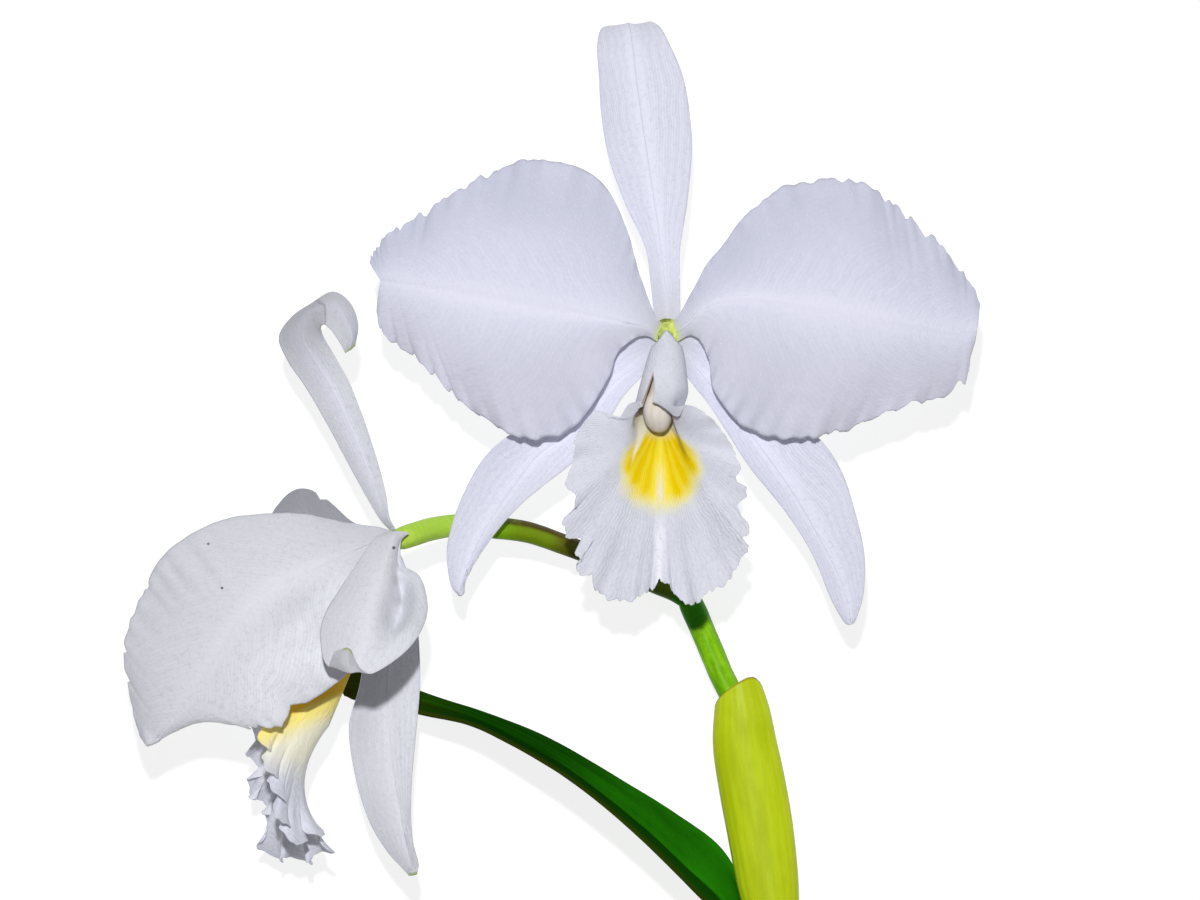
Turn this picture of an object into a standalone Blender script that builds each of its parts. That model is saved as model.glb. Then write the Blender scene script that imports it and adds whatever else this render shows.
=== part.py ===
"""A cut cattleya stem with two open flowers, laid down face up.

X runs to the right and Y to the top of the face-up view, Z is up from the surface.
The origin is the bottom centre of the whole stem. Lengths below are in millimetres.
"""
import bmesh
import bpy
from math import cos, pi, radians, sin
from mathutils import Matrix, Vector

MM = 0.001
TEPAL_WALL = 0.8           # thickness of petals and sepals
LIP_WALL = 0.7             # thickness of the lips
LEAF_WALL = 1.4            # thickness of the leaf
SHEATH_WALL = 0.8          # thickness of the papery sheath
CENTRE_SHIFT = (0.69, 0.43)  # brings the middle of the stem's box over the origin

# Each petal, sepal and leaf is given by stations from its base to its tip:
# the edge on one side, the midrib, and the edge on the other side.
DORSAL_SEPAL_A = [
    ((28.0, 50.4, 46.7), (30.2, 50.7, 46.4), (32.3, 50.4, 46.7)),
    ((26.7, 54.5, 46.6), (30.2, 54.5, 46.0), (33.7, 54.5, 46.6)),
    ((25.9, 61.8, 45.2), (29.7, 61.0, 44.4), (33.7, 61.8, 45.2)),
    ((24.3, 72.4, 42.3), (28.6, 71.3, 41.2), (33.8, 71.8, 42.3)),
    ((19.0, 84.1, 38.0), (27.1, 82.9, 36.6), (35.7, 83.6, 38.0)),
    ((14.6, 96.8, 33.0), (25.2, 96.1, 31.4), (37.1, 98.7, 33.0)),
    ((12.5, 109.3, 28.2), (23.4, 108.6, 26.4), (36.4, 110.4, 28.2)),
    ((11.9, 119.4, 24.4), (22.0, 119.5, 22.6), (34.0, 119.7, 24.4)),
    ((11.4, 127.9, 20.6), (21.0, 129.1, 19.0), (30.5, 127.3, 21.0)),
    ((12.5, 133.5, 15.6), (20.2, 134.4, 14.0), (27.8, 132.3, 16.4)),
    ((14.4, 134.8, 9.0), (19.6, 135.7, 7.6), (24.9, 133.9, 10.0)),
    ((16.1, 133.6, 3.4), (19.1, 134.2, 2.6), (22.2, 132.7, 4.2)),
    ((17.2, 129.8, 0.4), (18.9, 130.0, 0.4), (20.6, 129.6, 0.4)),
    ((17.8, 126.0, 0.4), (18.9, 125.6, 0.4), (20.0, 126.0, 0.4)),
]
LEFT_PETAL_A = [
    ((28.0, 49.3, 47.9), (28.0, 47.7, 48.0), (28.0, 46.1, 47.9)),
    ((25.9, 53.3, 49.2), (24.8, 50.1, 49.8), (24.8, 48.0, 49.2)),
    ((22.9, 64.3, 48.8), (18.9, 51.4, 51.0), (20.5, 46.9, 49.2)),
    ((19.4, 76.2, 47.6), (12.2, 52.5, 51.4), (16.8, 43.1, 48.8)),
    ((13.3, 88.9, 46.0), (4.2, 53.8, 51.4), (14.1, 36.2, 47.8)),
    ((3.1, 94.3, 44.8), (-5.2, 55.4, 51.0), (9.0, 27.9, 46.8)),
    ((-8.0, 95.4, 44.0), (-14.6, 57.3, 50.4), (1.5, 21.4, 46.0)),
    ((-18.0, 91.7, 43.4), (-23.5, 59.0, 49.6), (-8.8, 20.9, 45.4)),
    ((-27.7, 86.3, 42.8), (-31.8, 60.6, 48.4), (-20.1, 26.3, 45.0)),
    ((-36.0, 81.0, 42.4), (-38.3, 61.7, 47.0), (-29.2, 34.1, 44.4)),
    ((-43.0, 77.2, 42.0), (-42.9, 62.6, 45.8), (-37.9, 42.7, 43.6)),
    ((-48.2, 72.4, 42.0), (-45.4, 62.9, 44.8), (-45.7, 47.6, 42.8)),
    ((-49.8, 68.0, 42.4), (-46.7, 62.9, 44.2), (-47.9, 54.6, 42.4)),
]
RIGHT_PETAL_A = [
    ((32.5, 49.3, 47.9), (32.5, 47.7, 48.0), (32.5, 46.1, 47.9)),
    ((34.5, 53.9, 49.2), (35.5, 50.9, 49.8), (36.3, 48.2, 49.2)),
    ((36.9, 60.0, 48.8), (41.1, 56.2, 51.0), (39.6, 46.1, 49.2)),
    ((40.4, 66.3, 47.8), (48.3, 58.1, 51.6), (41.4, 41.0, 48.8)),
    ((45.5, 73.0, 46.8), (56.4, 58.1, 51.8), (42.8, 33.5, 47.8)),
    ((52.0, 81.1, 45.8), (64.9, 56.8, 51.4), (47.9, 26.3, 46.8)),
    ((61.2, 87.9, 44.8), (73.3, 55.4, 50.8), (56.8, 21.2, 46.0)),
    ((73.0, 90.1, 44.0), (81.3, 54.1, 50.0), (67.6, 20.6, 45.4)),
    ((84.9, 88.2, 43.4), (89.4, 52.5, 49.0), (78.4, 22.8, 45.0)),
    ((94.1, 81.5, 43.0), (97.0, 51.0, 47.8), (89.1, 27.4, 44.6)),
    ((102.7, 73.7, 42.8), (104.1, 49.6, 46.4), (99.4, 30.3, 44.0)),
    ((110.2, 64.8, 42.8), (109.8, 49.1, 45.2), (109.7, 34.6, 43.4)),
    ((114.5, 57.0, 43.2), (113.6, 49.9, 44.6), (112.6, 44.9, 43.4)),
]
LEFT_SEPAL_A = [
    ((27.8, 46.9, 46.7), (28.3, 46.1, 46.5), (29.1, 45.3, 46.7)),
    ((25.1, 46.4, 46.2), (26.4, 44.3, 45.4), (28.1, 42.7, 46.0)),
    ((18.9, 42.7, 44.4), (21.9, 40.0, 43.0), (25.1, 37.3, 44.4)),
    ((9.5, 35.7, 42.2), (14.4, 31.4, 40.4), (19.2, 28.7, 42.4)),
    ((-2.6, 27.7, 40.0), (4.6, 22.8, 38.2), (11.4, 20.1, 40.6)),
    ((-12.6, 21.2, 38.6), (-4.6, 15.8, 36.8), (3.8, 13.1, 39.4)),
    ((-19.2, 15.2, 37.6), (-11.1, 7.7, 35.8), (-3.2, 7.7, 38.2)),
    ((-24.0, 7.1, 37.0), (-16.5, -0.2, 35.2), (-10.0, 2.0, 37.2)),
    ((-27.6, -1.8, 36.4), (-21.1, -8.3, 35.0), (-15.9, -4.8, 36.6)),
    ((-29.2, -10.5, 36.0), (-23.8, -15.4, 35.2), (-20.3, -11.0, 36.2)),
    ((-28.1, -18.9, 35.6), (-25.7, -20.5, 35.4), (-23.8, -17.2, 35.8)),
    ((-26.0, -22.1, 35.4), (-25.2, -22.1, 35.3), (-24.6, -21.3, 35.4)),
]
RIGHT_SEPAL_A = [
    ((31.3, 45.3, 46.7), (32.1, 46.1, 46.5), (32.6, 46.9, 46.7)),
    ((32.6, 42.4, 46.0), (34.2, 44.0, 45.4), (35.8, 46.4, 46.2)),
    ((35.9, 36.8, 44.4), (38.6, 38.9, 43.0), (41.2, 43.8, 44.8)),
    ((41.0, 30.3, 42.8), (44.8, 31.4, 41.2), (51.0, 36.8, 43.4)),
    ((46.4, 22.3, 41.2), (51.9, 22.8, 39.6), (61.5, 28.7, 42.0)),
    ((52.4, 13.1, 39.8), (58.9, 13.6, 38.2), (71.0, 20.9, 40.6)),
    ((59.5, 4.4, 38.6), (65.5, 3.9, 37.0), (77.3, 12.0, 39.4)),
    ((65.7, -4.2, 37.6), (71.2, -5.9, 36.2), (81.1, 0.9, 38.2)),
    ((70.6, -12.9, 36.6), (76.1, -15.1, 35.6), (83.6, -10.5, 37.0)),
    ((74.4, -22.1, 35.8), (79.1, -23.2, 35.2), (83.6, -20.5, 36.0)),
    ((77.4, -27.8, 35.4), (79.9, -28.1, 35.0), (82.3, -26.5, 35.4)),
    ((78.8, -29.7, 35.2), (79.9, -30.0, 35.1), (81.0, -29.4, 35.2)),
]
DORSAL_SEPAL_B = [
    ((-44.6, -4.2, 36.6), (-43.7, -4.4, 38.0), (-42.9, -4.2, 39.4)),
    ((-47.2, -1.2, 38.6), (-45.8, -1.0, 39.6), (-44.7, -0.7, 40.6)),
    ((-50.4, 3.9, 39.0), (-47.7, 4.7, 40.2), (-45.5, 5.0, 41.2)),
    ((-55.9, 13.6, 38.4), (-51.2, 14.7, 40.2), (-47.4, 13.1, 41.6)),
    ((-61.6, 24.4, 37.6), (-56.1, 26.0, 39.8), (-50.9, 24.4, 41.6)),
    ((-67.3, 34.4, 37.0), (-60.9, 35.8, 39.6), (-55.2, 35.2, 41.6)),
    ((-71.9, 41.2, 37.0), (-65.5, 42.8, 39.6), (-59.5, 42.7, 41.8)),
    ((-74.6, 47.7, 37.6), (-68.2, 48.7, 40.4), (-62.4, 47.6, 42.6)),
    ((-71.5, 53.0, 39.4), (-66.2, 53.5, 42.4), (-62.9, 50.2, 44.6)),
    ((-65.7, 57.0, 41.8), (-62.6, 55.9, 44.8), (-61.7, 51.0, 46.8)),
    ((-59.7, 59.9, 44.0), (-58.7, 56.1, 46.8), (-60.0, 49.6, 48.2)),
    ((-55.0, 56.9, 45.6), (-56.0, 52.8, 47.8), (-58.3, 47.4, 48.8)),
    ((-52.8, 51.0, 46.6), (-54.4, 48.3, 48.0), (-57.0, 45.3, 48.8)),
    ((-53.6, 45.3, 47.2), (-54.9, 44.2, 47.8), (-56.2, 43.4, 48.2)),
]
FAR_PETAL_B = [
    ((-43.3, -5.3, 35.4), (-43.3, -6.7, 35.1), (-43.0, -8.3, 35.3)),
    ((-48.0, -3.2, 32.6), (-48.1, -6.8, 31.6), (-47.5, -10.6, 31.4)),
    ((-55.3, 0.0, 27.6), (-55.9, -7.4, 26.0), (-55.4, -17.5, 25.6)),
    ((-61.6, 4.0, 21.6), (-63.9, -8.6, 19.0), (-63.4, -24.8, 18.6)),
    ((-67.4, 6.7, 15.6), (-71.4, -10.4, 12.2), (-70.3, -30.5, 12.0)),
    ((-72.6, 5.6, 10.2), (-77.8, -12.7, 6.4), (-76.7, -34.2, 6.4)),
    ((-76.2, 1.7, 5.8), (-83.0, -15.5, 2.4), (-82.5, -35.2, 2.6)),
    ((-80.3, -3.4, 2.4), (-87.6, -18.6, 0.6), (-87.0, -33.6, 0.6)),
    ((-84.8, -8.9, 0.8), (-90.9, -22.0, 0.4), (-90.4, -30.3, 0.4)),
    ((-88.7, -15.3, 0.4), (-92.6, -24.2, 0.4), (-92.0, -27.5, 0.4)),
]
NEAR_PETAL_B = [
    ((-43.1, -5.3, 40.3), (-43.1, -6.9, 40.4), (-42.8, -8.2, 40.3)),
    ((-46.5, -3.6, 42.6), (-46.9, -6.8, 43.7), (-45.6, -9.2, 43.7)),
    ((-56.3, -1.9, 45.8), (-53.7, -9.7, 49.0), (-49.9, -15.3, 50.0)),
    ((-67.5, 0.0, 47.6), (-62.1, -13.1, 54.0), (-52.4, -24.3, 55.4)),
    ((-78.5, 0.2, 48.2), (-70.0, -16.5, 56.4), (-53.4, -33.3, 57.4)),
    ((-88.7, -1.1, 48.4), (-76.6, -20.5, 57.4), (-53.9, -40.7, 58.2)),
    ((-98.6, -5.9, 48.2), (-82.4, -25.8, 57.6), (-59.2, -47.1, 58.2)),
    ((-106.2, -12.4, 47.8), (-87.5, -32.7, 57.0), (-67.3, -50.9, 57.2)),
    ((-110.8, -21.3, 47.2), (-92.7, -40.8, 56.0), (-74.3, -55.7, 55.6)),
    ((-114.3, -30.4, 46.8), (-97.9, -48.9, 54.2), (-82.4, -56.6, 53.8)),
    ((-115.7, -39.6, 46.4), (-102.6, -55.4, 51.8), (-93.3, -56.8, 51.2)),
    ((-113.8, -50.6, 46.2), (-106.6, -59.8, 49.0), (-102.1, -58.2, 48.8)),
    ((-111.4, -59.4, 46.4), (-109.2, -61.8, 47.4), (-106.5, -61.0, 47.6)),
]
NEAR_SEPAL_B = [
    ((-43.0, -5.0, 41.6), (-41.7, -6.3, 41.8), (-40.3, -7.9, 41.6)),
    ((-46.9, -6.8, 47.6), (-43.9, -8.4, 48.8), (-41.0, -10.0, 47.4)),
    ((-51.3, -11.5, 52.6), (-45.5, -12.8, 55.2), (-39.5, -13.7, 52.2)),
    ((-55.9, -17.9, 57.0), (-46.7, -18.0, 60.6), (-36.1, -16.8, 55.0)),
    ((-59.5, -24.2, 61.2), (-47.5, -23.5, 65.0), (-33.9, -22.0, 59.0)),
    ((-61.7, -30.4, 64.0), (-48.1, -29.2, 68.4), (-34.3, -28.0, 62.6)),
    ((-62.1, -35.0, 66.6), (-48.5, -34.0, 71.0), (-37.1, -32.9, 66.8)),
    ((-59.6, -38.2, 70.2), (-49.0, -38.2, 73.6), (-42.4, -37.6, 71.0)),
    ((-56.8, -39.6, 73.6), (-50.8, -39.9, 76.0), (-47.2, -40.4, 74.8)),
    ((-55.2, -38.2, 76.4), (-52.6, -38.6, 77.8), (-50.4, -39.4, 77.2)),
    ((-54.4, -35.6, 77.6), (-53.5, -35.8, 78.0), (-52.6, -36.2, 77.8)),
]
FAR_SEPAL_B = [
    ((-42.6, -10.0, 36.0), (-41.7, -10.3, 36.2), (-40.8, -10.2, 36.6)),
    ((-44.3, -13.0, 30.6), (-42.2, -13.3, 29.6), (-39.4, -12.5, 31.0)),
    ((-49.3, -22.8, 28.6), (-43.3, -24.0, 27.0), (-38.1, -23.4, 29.6)),
    ((-53.3, -34.8, 28.6), (-45.0, -36.5, 26.6), (-37.0, -34.8, 29.6)),
    ((-55.2, -46.5, 29.2), (-45.8, -49.0, 26.8), (-36.7, -45.6, 29.8)),
    ((-56.0, -58.1, 30.2), (-45.2, -60.7, 27.4), (-37.5, -56.5, 30.4)),
    ((-54.3, -70.5, 31.8), (-43.8, -71.8, 28.8), (-38.6, -68.1, 31.4)),
    ((-50.7, -82.3, 33.6), (-41.6, -82.5, 31.2), (-39.1, -79.7, 32.6)),
    ((-45.7, -90.9, 35.4), (-39.8, -90.5, 33.6), (-38.5, -88.8, 34.4)),
    ((-41.3, -95.6, 37.0), (-38.7, -95.2, 36.0), (-37.0, -94.1, 36.4)),
    ((-39.4, -97.5, 37.8), (-38.4, -97.5, 37.4), (-37.3, -97.2, 37.6)),
]
LEAF = [
    ((54.2, -120.6, 5.4), (52.8, -120.9, 10.0), (53.9, -119.9, 14.6)),
    ((53.1, -113.9, 4.4), (49.3, -114.1, 12.0), (49.9, -114.1, 21.0)),
    ((51.2, -103.2, 3.2), (45.1, -105.9, 18.0), (40.9, -105.0, 35.0)),
    ((44.9, -92.3, 1.8), (36.2, -97.9, 22.0), (32.9, -96.2, 43.0)),
    ((33.0, -83.2, 1.2), (25.3, -87.6, 24.0), (22.9, -86.6, 46.0)),
    ((20.5, -75.4, 1.0), (13.3, -77.8, 24.0), (11.7, -77.2, 46.5)),
    ((8.0, -68.2, 1.0), (2.4, -69.6, 24.0), (0.1, -68.9, 45.0)),
    ((-4.4, -61.8, 1.2), (-8.8, -63.2, 22.5), (-11.3, -62.2, 41.0)),
    ((-18.3, -56.3, 1.6), (-20.6, -57.3, 19.0), (-23.0, -56.8, 34.5)),
    ((-32.1, -51.5, 2.4), (-33.4, -52.9, 15.0), (-35.4, -54.5, 27.0)),
    ((-44.5, -48.4, 3.6), (-45.6, -50.6, 11.5), (-46.7, -52.4, 19.0)),
    ((-53.5, -46.7, 5.4), (-55.0, -49.0, 9.4), (-54.9, -51.3, 13.0)),
    ((-57.9, -48.3, 7.4), (-58.7, -49.0, 8.3), (-57.8, -50.4, 9.5)),
]

# Margin of each lip from its left slit edge, round the frilled front, to its right one,
# as x across, y back towards the flower's centre and z up, from the foot of the lip.
LIP_MARGIN_A = [
    (-8.0, -18.8, 16.4), (-10.4, -18.9, 15.2), (-12.8, -19.2, 13.6), (-15.6, -19.4, 11.4),
    (-18.9, -18.6, 8.8), (-23.2, -26.4, 6.8), (-25.6, -36.5, 5.8), (-26.2, -47.7, 4.8),
    (-22.7, -58.5, 2.8), (-17.3, -66.0, 0.8), (-9.8, -69.0, -0.7), (-3.9, -66.4, -1.7),
    (-0.7, -63.7, -2.0), (2.5, -66.1, -1.7), (9.2, -69.8, -0.7), (16.2, -64.7, 0.8),
    (21.2, -57.1, 2.8), (22.8, -47.2, 4.8), (21.7, -36.5, 5.8), (18.7, -28.0, 6.8),
    (13.8, -20.0, 11.0), (9.4, -18.6, 15.0), (4.8, -19.6, 17.6), (0.2, -19.6, 19.0),
    (-4.6, -18.4, 19.0),
]
LIP_HALF_MARGIN_B = [
    (0.0, -81.5, -16.0), (7.0, -85.0, -12.5), (13.0, -86.0, -5.0), (17.0, -81.0, 0.5),
    (19.0, -75.0, 8.0), (18.5, -68.5, 9.5), (16.5, -61.0, 13.0), (13.5, -52.0, 14.5),
    (9.0, -45.0, 13.5), (3.0, -39.0, 11.6),
]

LIP_A = {
    "foot": (29.0, 45.0, 49.3), "across": (1, 0, 0), "up": (0, 0, 1),
    "tube": 14.6, "slant": 9.3, "radius": (3.8, 7.6), "keel": (0.0, 2.6),
    "drift": (1.0, -0.5), "reach": 14.0, "wrap": 168.0, "twist": 30.0,
}
LIP_B = {
    "foot": (-45.7, -10.6, 37.0), "across": (0, 0, 1), "up": (-0.92, 0.39, 0),
    "tube": 37.0, "slant": 12.0, "radius": (3.4, 7.4), "keel": (-3.4, -3.8),
    "drift": (0.0, 0.0), "reach": 20.0, "wrap": 155.0, "twist": 0.0,
}

# Stem routes, with the radius at each point
PEDUNCLE = [
    (60.6, -120.1, 10.0, 3.6), (57.9, -103.8, 9.8, 3.5), (54.9, -84.5, 9.6, 3.4),
    (52.1, -68.0, 9.6, 3.4), (49.9, -54.2, 9.4, 3.4), (45.3, -43.8, 9.2, 3.4),
    (40.9, -33.3, 9.2, 3.4), (37.5, -25.6, 9.2, 3.4), (35.9, -22.3, 9.4, 2.6),
]
PEDICEL_A = [
    (37.0, -24.5, 9.2, 2.6), (35.6, -17.1, 8.0, 2.6), (34.3, -6.1, 5.4, 2.6),
    (33.2, 6.3, 3.4, 2.6), (32.4, 17.4, 3.4, 2.6), (31.5, 27.1, 7.0, 2.8),
    (30.9, 35.2, 15.0, 3.1), (30.4, 41.9, 27.0, 3.3), (30.2, 46.6, 38.0, 3.5),
    (30.2, 47.8, 43.0, 3.6), (30.2, 47.8, 45.5, 3.4),
]
PEDICEL_B = [
    (37.0, -24.5, 9.4, 2.6), (32.6, -21.7, 10.4, 2.6), (27.3, -19.5, 12.0, 2.6),
    (19.9, -16.1, 14.5, 2.6), (11.7, -12.2, 17.5, 2.7), (2.6, -8.6, 20.5, 2.8),
    (-6.9, -5.2, 23.6, 2.9), (-16.1, -3.8, 26.6, 3.0), (-25.8, -3.0, 30.0, 3.0),
    (-33.3, -4.0, 34.0, 3.1), (-37.8, -5.3, 36.8, 3.2), (-41.6, -6.6, 38.0, 3.1),
]
COLUMN_A = [
    (30.2, 47.8, 46.0, 1.7), (30.2, 47.4, 50.0, 1.8), (29.9, 45.2, 53.0, 2.0),
    (29.3, 39.8, 55.8, 2.4), (28.7, 33.4, 58.4, 2.8), (28.4, 27.5, 60.2, 3.0),
    (28.3, 25.0, 60.8, 2.4), (28.3, 23.9, 61.0, 1.2),
]
COLUMN_B = [
    (-42.8, -7.2, 38.0, 1.7), (-44.2, -8.4, 37.6, 1.8), (-46.2, -11.8, 37.2, 1.9),
    (-49.4, -17.4, 37.0, 2.2), (-53.3, -24.7, 37.0, 2.6), (-57.0, -31.9, 37.0, 3.0),
    (-58.8, -35.4, 37.0, 2.9), (-59.6, -37.0, 37.0, 1.2),
]
SHEATH_AXIS = [
    (50.2, -47.6, 9.6), (51.3, -54.8, 10.0), (52.1, -63.8, 10.0), (54.1, -74.9, 10.0),
    (56.3, -87.2, 10.0), (58.5, -102.4, 10.0), (60.1, -113.4, 10.0), (61.0, -120.2, 10.0),
]
SHEATH_HALF = [
    (5.4, 4.6), (6.8, 4.9), (7.8, 5.0), (8.4, 5.0), (8.3, 5.0), (7.4, 5.0), (6.2, 5.0), (5.6, 5.0),
]
SHEATH_SLANT = 0.15        # share of the sheath's length by which one side of its mouth is lower
BULB_AXIS = [
    (60.9, -121.2, 10.0), (61.0, -123.5, 10.0), (61.5, -129.0, 10.0), (62.3, -135.6, 10.0),
]
BULB_HALF = [(9.0, 8.4), (10.2, 9.5), (10.8, 10.0), (10.9, 10.0)]

# Divisions along and across each kind of blade
SEPAL_GRID = (18, 6)
LONG_SEPAL_GRID = (24, 6)
WIDE_SEPAL_GRID = (18, 8)
PETAL_GRID = (26, 8)
LEAF_GRID = (22, 6)
LIP_A_GRID = (12, 48)
LIP_B_GRID = (12, 44)
SHEATH_GRID = (12, 18)
BULB_GRID = (6, 24)
BULB_RIBS = 8
RIB_DEPTH = 0.012          # depth of the grooves between ribs, as a share of the radius
TUBE_SHARE = 0.4           # share of a lip's rows that form its tube
BASE_FADE = 0.25           # share of a blade's length over which its waves grow
TIP_FADE = 0.12            # share of a blade's length over which its waves die out
SIDE_SHIFT = 1.9           # radians by which the two edges of a blade wave out of step


def between(values, at):
    """Point on the smooth curve through equally spaced values, for at from 0 to 1."""
    place = min(max(at, 0.0), 1.0) * (len(values) - 1)
    index = min(int(place), len(values) - 2)
    t = place - index
    p1 = Vector(values[index])
    p2 = Vector(values[index + 1])
    p0 = Vector(values[index - 1]) if index > 0 else 2.0 * p1 - p2
    p3 = Vector(values[index + 2]) if index + 2 < len(values) else 2.0 * p2 - p1
    return 0.5 * (2.0 * p1 + (p2 - p0) * t + (2.0 * p0 - 5.0 * p1 + 4.0 * p2 - p3) * t * t
                  + (3.0 * p1 - p0 - 3.0 * p2 + p3) * t * t * t)


def principled(name, colour, roughness):
    """Material for one sub-part."""
    material = bpy.data.materials.new(name)
    material.use_nodes = True
    shader = material.node_tree.nodes["Principled BSDF"]
    shader.inputs["Base Color"].default_value = (*colour, 1.0)
    shader.inputs["Roughness"].default_value = roughness
    shader.inputs["Metallic"].default_value = 0.0
    return material


def grid_object(name, grid, place, wall, material, collection, closed=False):
    """Thin wall whose middle surface is place(u, v), u along and v across, both 0 to 1."""
    bm = bmesh.new()
    bmesh.ops.create_grid(bm, x_segments=grid[0], y_segments=grid[1], size=0.5)
    for vert in bm.verts:
        spot = place(vert.co.x + 0.5, vert.co.y + 0.5)
        vert.co = (spot + Vector((*CENTRE_SHIFT, 0.0))) * MM
    if closed:
        bmesh.ops.remove_doubles(bm, verts=bm.verts, dist=0.00001)
    bmesh.ops.triangulate(bm, faces=bm.faces, quad_method="SHORT_EDGE")
    mesh = bpy.data.meshes.new(name)
    bm.to_mesh(mesh)
    bm.free()
    mesh.materials.append(material)
    mesh.shade_smooth()
    obj = bpy.data.objects.new(name, mesh)
    collection.objects.link(obj)
    shell = obj.modifiers.new("Wall", "SOLIDIFY")
    shell.thickness = wall * MM
    shell.offset = 0.0
    return obj


def blade(name, stations, look, grid, material, collection):
    """Petal, sepal or leaf through its stations, with a rounded section and a waved edge."""
    wall = look["wall"]
    left = [station[0] for station in stations]
    rib = [station[1] for station in stations]
    right = [station[2] for station in stations]

    def place(u, v):
        side = 2.0 * v - 1.0
        reach = abs(side)
        middle = between(rib, u)
        edge = between(left if side < 0 else right, u)
        fade = min(1.0, u / BASE_FADE) * min(1.0, (1.0 - u) / TIP_FADE)
        phase = look["phase"] + (0.0 if side < 0 else SIDE_SHIFT)
        tooth = look["tooth"] * fade * sin(2.0 * pi * look["teeth"] * u + 2.0 * phase)
        edge += (edge - middle).normalized() * tooth
        ahead = between(rib, u + 0.02) - between(rib, u - 0.02)
        across = between(right, u) - between(left, u)
        normal = across.cross(ahead).normalized()
        spread = (edge - middle).length
        belly = look["belly"] * spread * 4.0 * reach * (1.0 - reach)
        wave = look["wave"] * fade * reach ** 3 * sin(2.0 * pi * look["waves"] * u + phase)
        spot = middle.lerp(edge, reach) + normal * (belly + wave)
        spot.z = max(spot.z, wall / 2.0)
        return spot

    return grid_object(name, grid, place, wall, material, collection)


def lip(name, shape, margin, look, grid, material, collection):
    """Lip rolled round the column as a tube, then spread to a frilled blade."""
    across = Vector(shape["across"]).normalized()
    up = Vector(shape["up"]).normalized()
    back = up.cross(across)
    turn = Matrix((across, back, up)).transposed()
    foot = Vector(shape["foot"])
    wrap = radians(shape["wrap"])
    twist = radians(shape["twist"])

    def ring(part, side):
        radius = shape["radius"][0] + (shape["radius"][1] - shape["radius"][0]) * part ** 0.8
        keel = shape["keel"][0] + (shape["keel"][1] - shape["keel"][0]) * part
        drift = shape["drift"][0] + (shape["drift"][1] - shape["drift"][0]) * part
        angle = wrap * side + twist * part * side * side
        along = shape["tube"] * part + shape["slant"] * part * (1.0 + cos(angle)) / 2.0
        return Vector((drift + radius * sin(angle), -along, keel + radius * (1.0 - cos(angle))))

    def place(u, v):
        side = 2.0 * v - 1.0
        if u <= TUBE_SHARE:
            local = ring(u / TUBE_SHARE, side)
        else:
            t = (u - TUBE_SHARE) / (1.0 - TUBE_SHARE)
            start = ring(1.0, side)
            finish = between(margin, v)
            share = min(1.0, (finish - start).length / look["full"])
            pull = shape["reach"] * share * (0.15 + 0.85 * (1.0 + cos(pi * side)) / 2.0)
            bend = start + Vector((0.0, -pull, 0.0))
            local = start * (1.0 - t) ** 2 + bend * (2.0 * t * (1.0 - t)) + finish * t * t
            hold = share * share * (1.0 - abs(side) ** 6)
            turns = 2.0 * pi * look["waves"] * v + look["phase"]
            frill = look["wave"] * t ** 3 * hold * sin(turns)
            local += (finish - start).normalized() * look["tooth"] * t ** 5 * hold * cos(turns)
            pleat = look["pleat"] * t * (1.0 - t) * 4.0 * hold * cos(2.0 * pi * look["pleats"] * v)
            local.z += frill + pleat
        spot = turn @ local + foot
        spot.z = max(spot.z, LIP_WALL / 2.0)
        return spot

    return grid_object(name, grid, place, LIP_WALL, material, collection)


def tube(name, route, points, material, collection):
    """Round stem along a route of x, y, z and radius."""
    curve = bpy.data.curves.new(name, "CURVE")
    curve.dimensions = "3D"
    curve.bevel_depth = MM
    curve.bevel_resolution = 3
    curve.use_fill_caps = True
    spline = curve.splines.new("POLY")
    spline.points.add(points - 1)
    shift = Vector((*CENTRE_SHIFT, 0.0, 0.0))
    for number, point in enumerate(spline.points):
        spot = between(route, number / (points - 1)) + shift
        point.co = (spot[0] * MM, spot[1] * MM, spot[2] * MM, 1.0)
        point.radius = spot[3]
    curve.materials.append(material)
    obj = bpy.data.objects.new(name, curve)
    collection.objects.link(obj)
    return obj


def as_mesh(obj, collection):
    """Closed mesh object in place of a curve."""
    evaluated = obj.evaluated_get(bpy.context.evaluated_depsgraph_get())
    mesh = bpy.data.meshes.new_from_object(evaluated)
    name = obj.name
    matrix = obj.matrix_world.copy()
    bpy.data.objects.remove(obj)
    bm = bmesh.new()
    bm.from_mesh(mesh)
    bmesh.ops.remove_doubles(bm, verts=bm.verts, dist=0.00001)
    bm.to_mesh(mesh)
    bm.free()
    mesh.shade_smooth()
    mesh.set_sharp_from_angle(angle=radians(50))
    solid = bpy.data.objects.new(name, mesh)
    solid.matrix_world = matrix
    collection.objects.link(solid)
    return solid


def join(name, pieces, collection):
    """One solid from pieces that overlap."""
    bpy.context.view_layer.update()
    first = as_mesh(pieces[0], collection)
    first.name = name
    for piece in pieces[1:]:
        other = as_mesh(piece, collection)
        union = first.modifiers.new("Join", "BOOLEAN")
        union.operation = "UNION"
        union.object = other
        bpy.context.view_layer.update()
        evaluated = first.evaluated_get(bpy.context.evaluated_depsgraph_get())
        merged = bpy.data.meshes.new_from_object(evaluated)
        first.modifiers.clear()
        first.data = merged
        bpy.data.objects.remove(other)
    return first


def ring_spot(axis, halves, u, angle, depth=0.0):
    """Point of a flattened round section at u along an axis that lies level."""
    middle = between(axis, u)
    ahead = between(axis, u + 0.01) - between(axis, u - 0.01)
    side = Vector((ahead.y, -ahead.x, 0.0)).normalized()
    wide, high = between([(*half, 0.0) for half in halves], u).xy
    scale = 1.0 + depth * (cos(BULB_RIBS * angle) - 1.0)
    return middle + (side * wide * cos(angle) + Vector((0.0, 0.0, high * sin(angle)))) * scale


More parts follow.
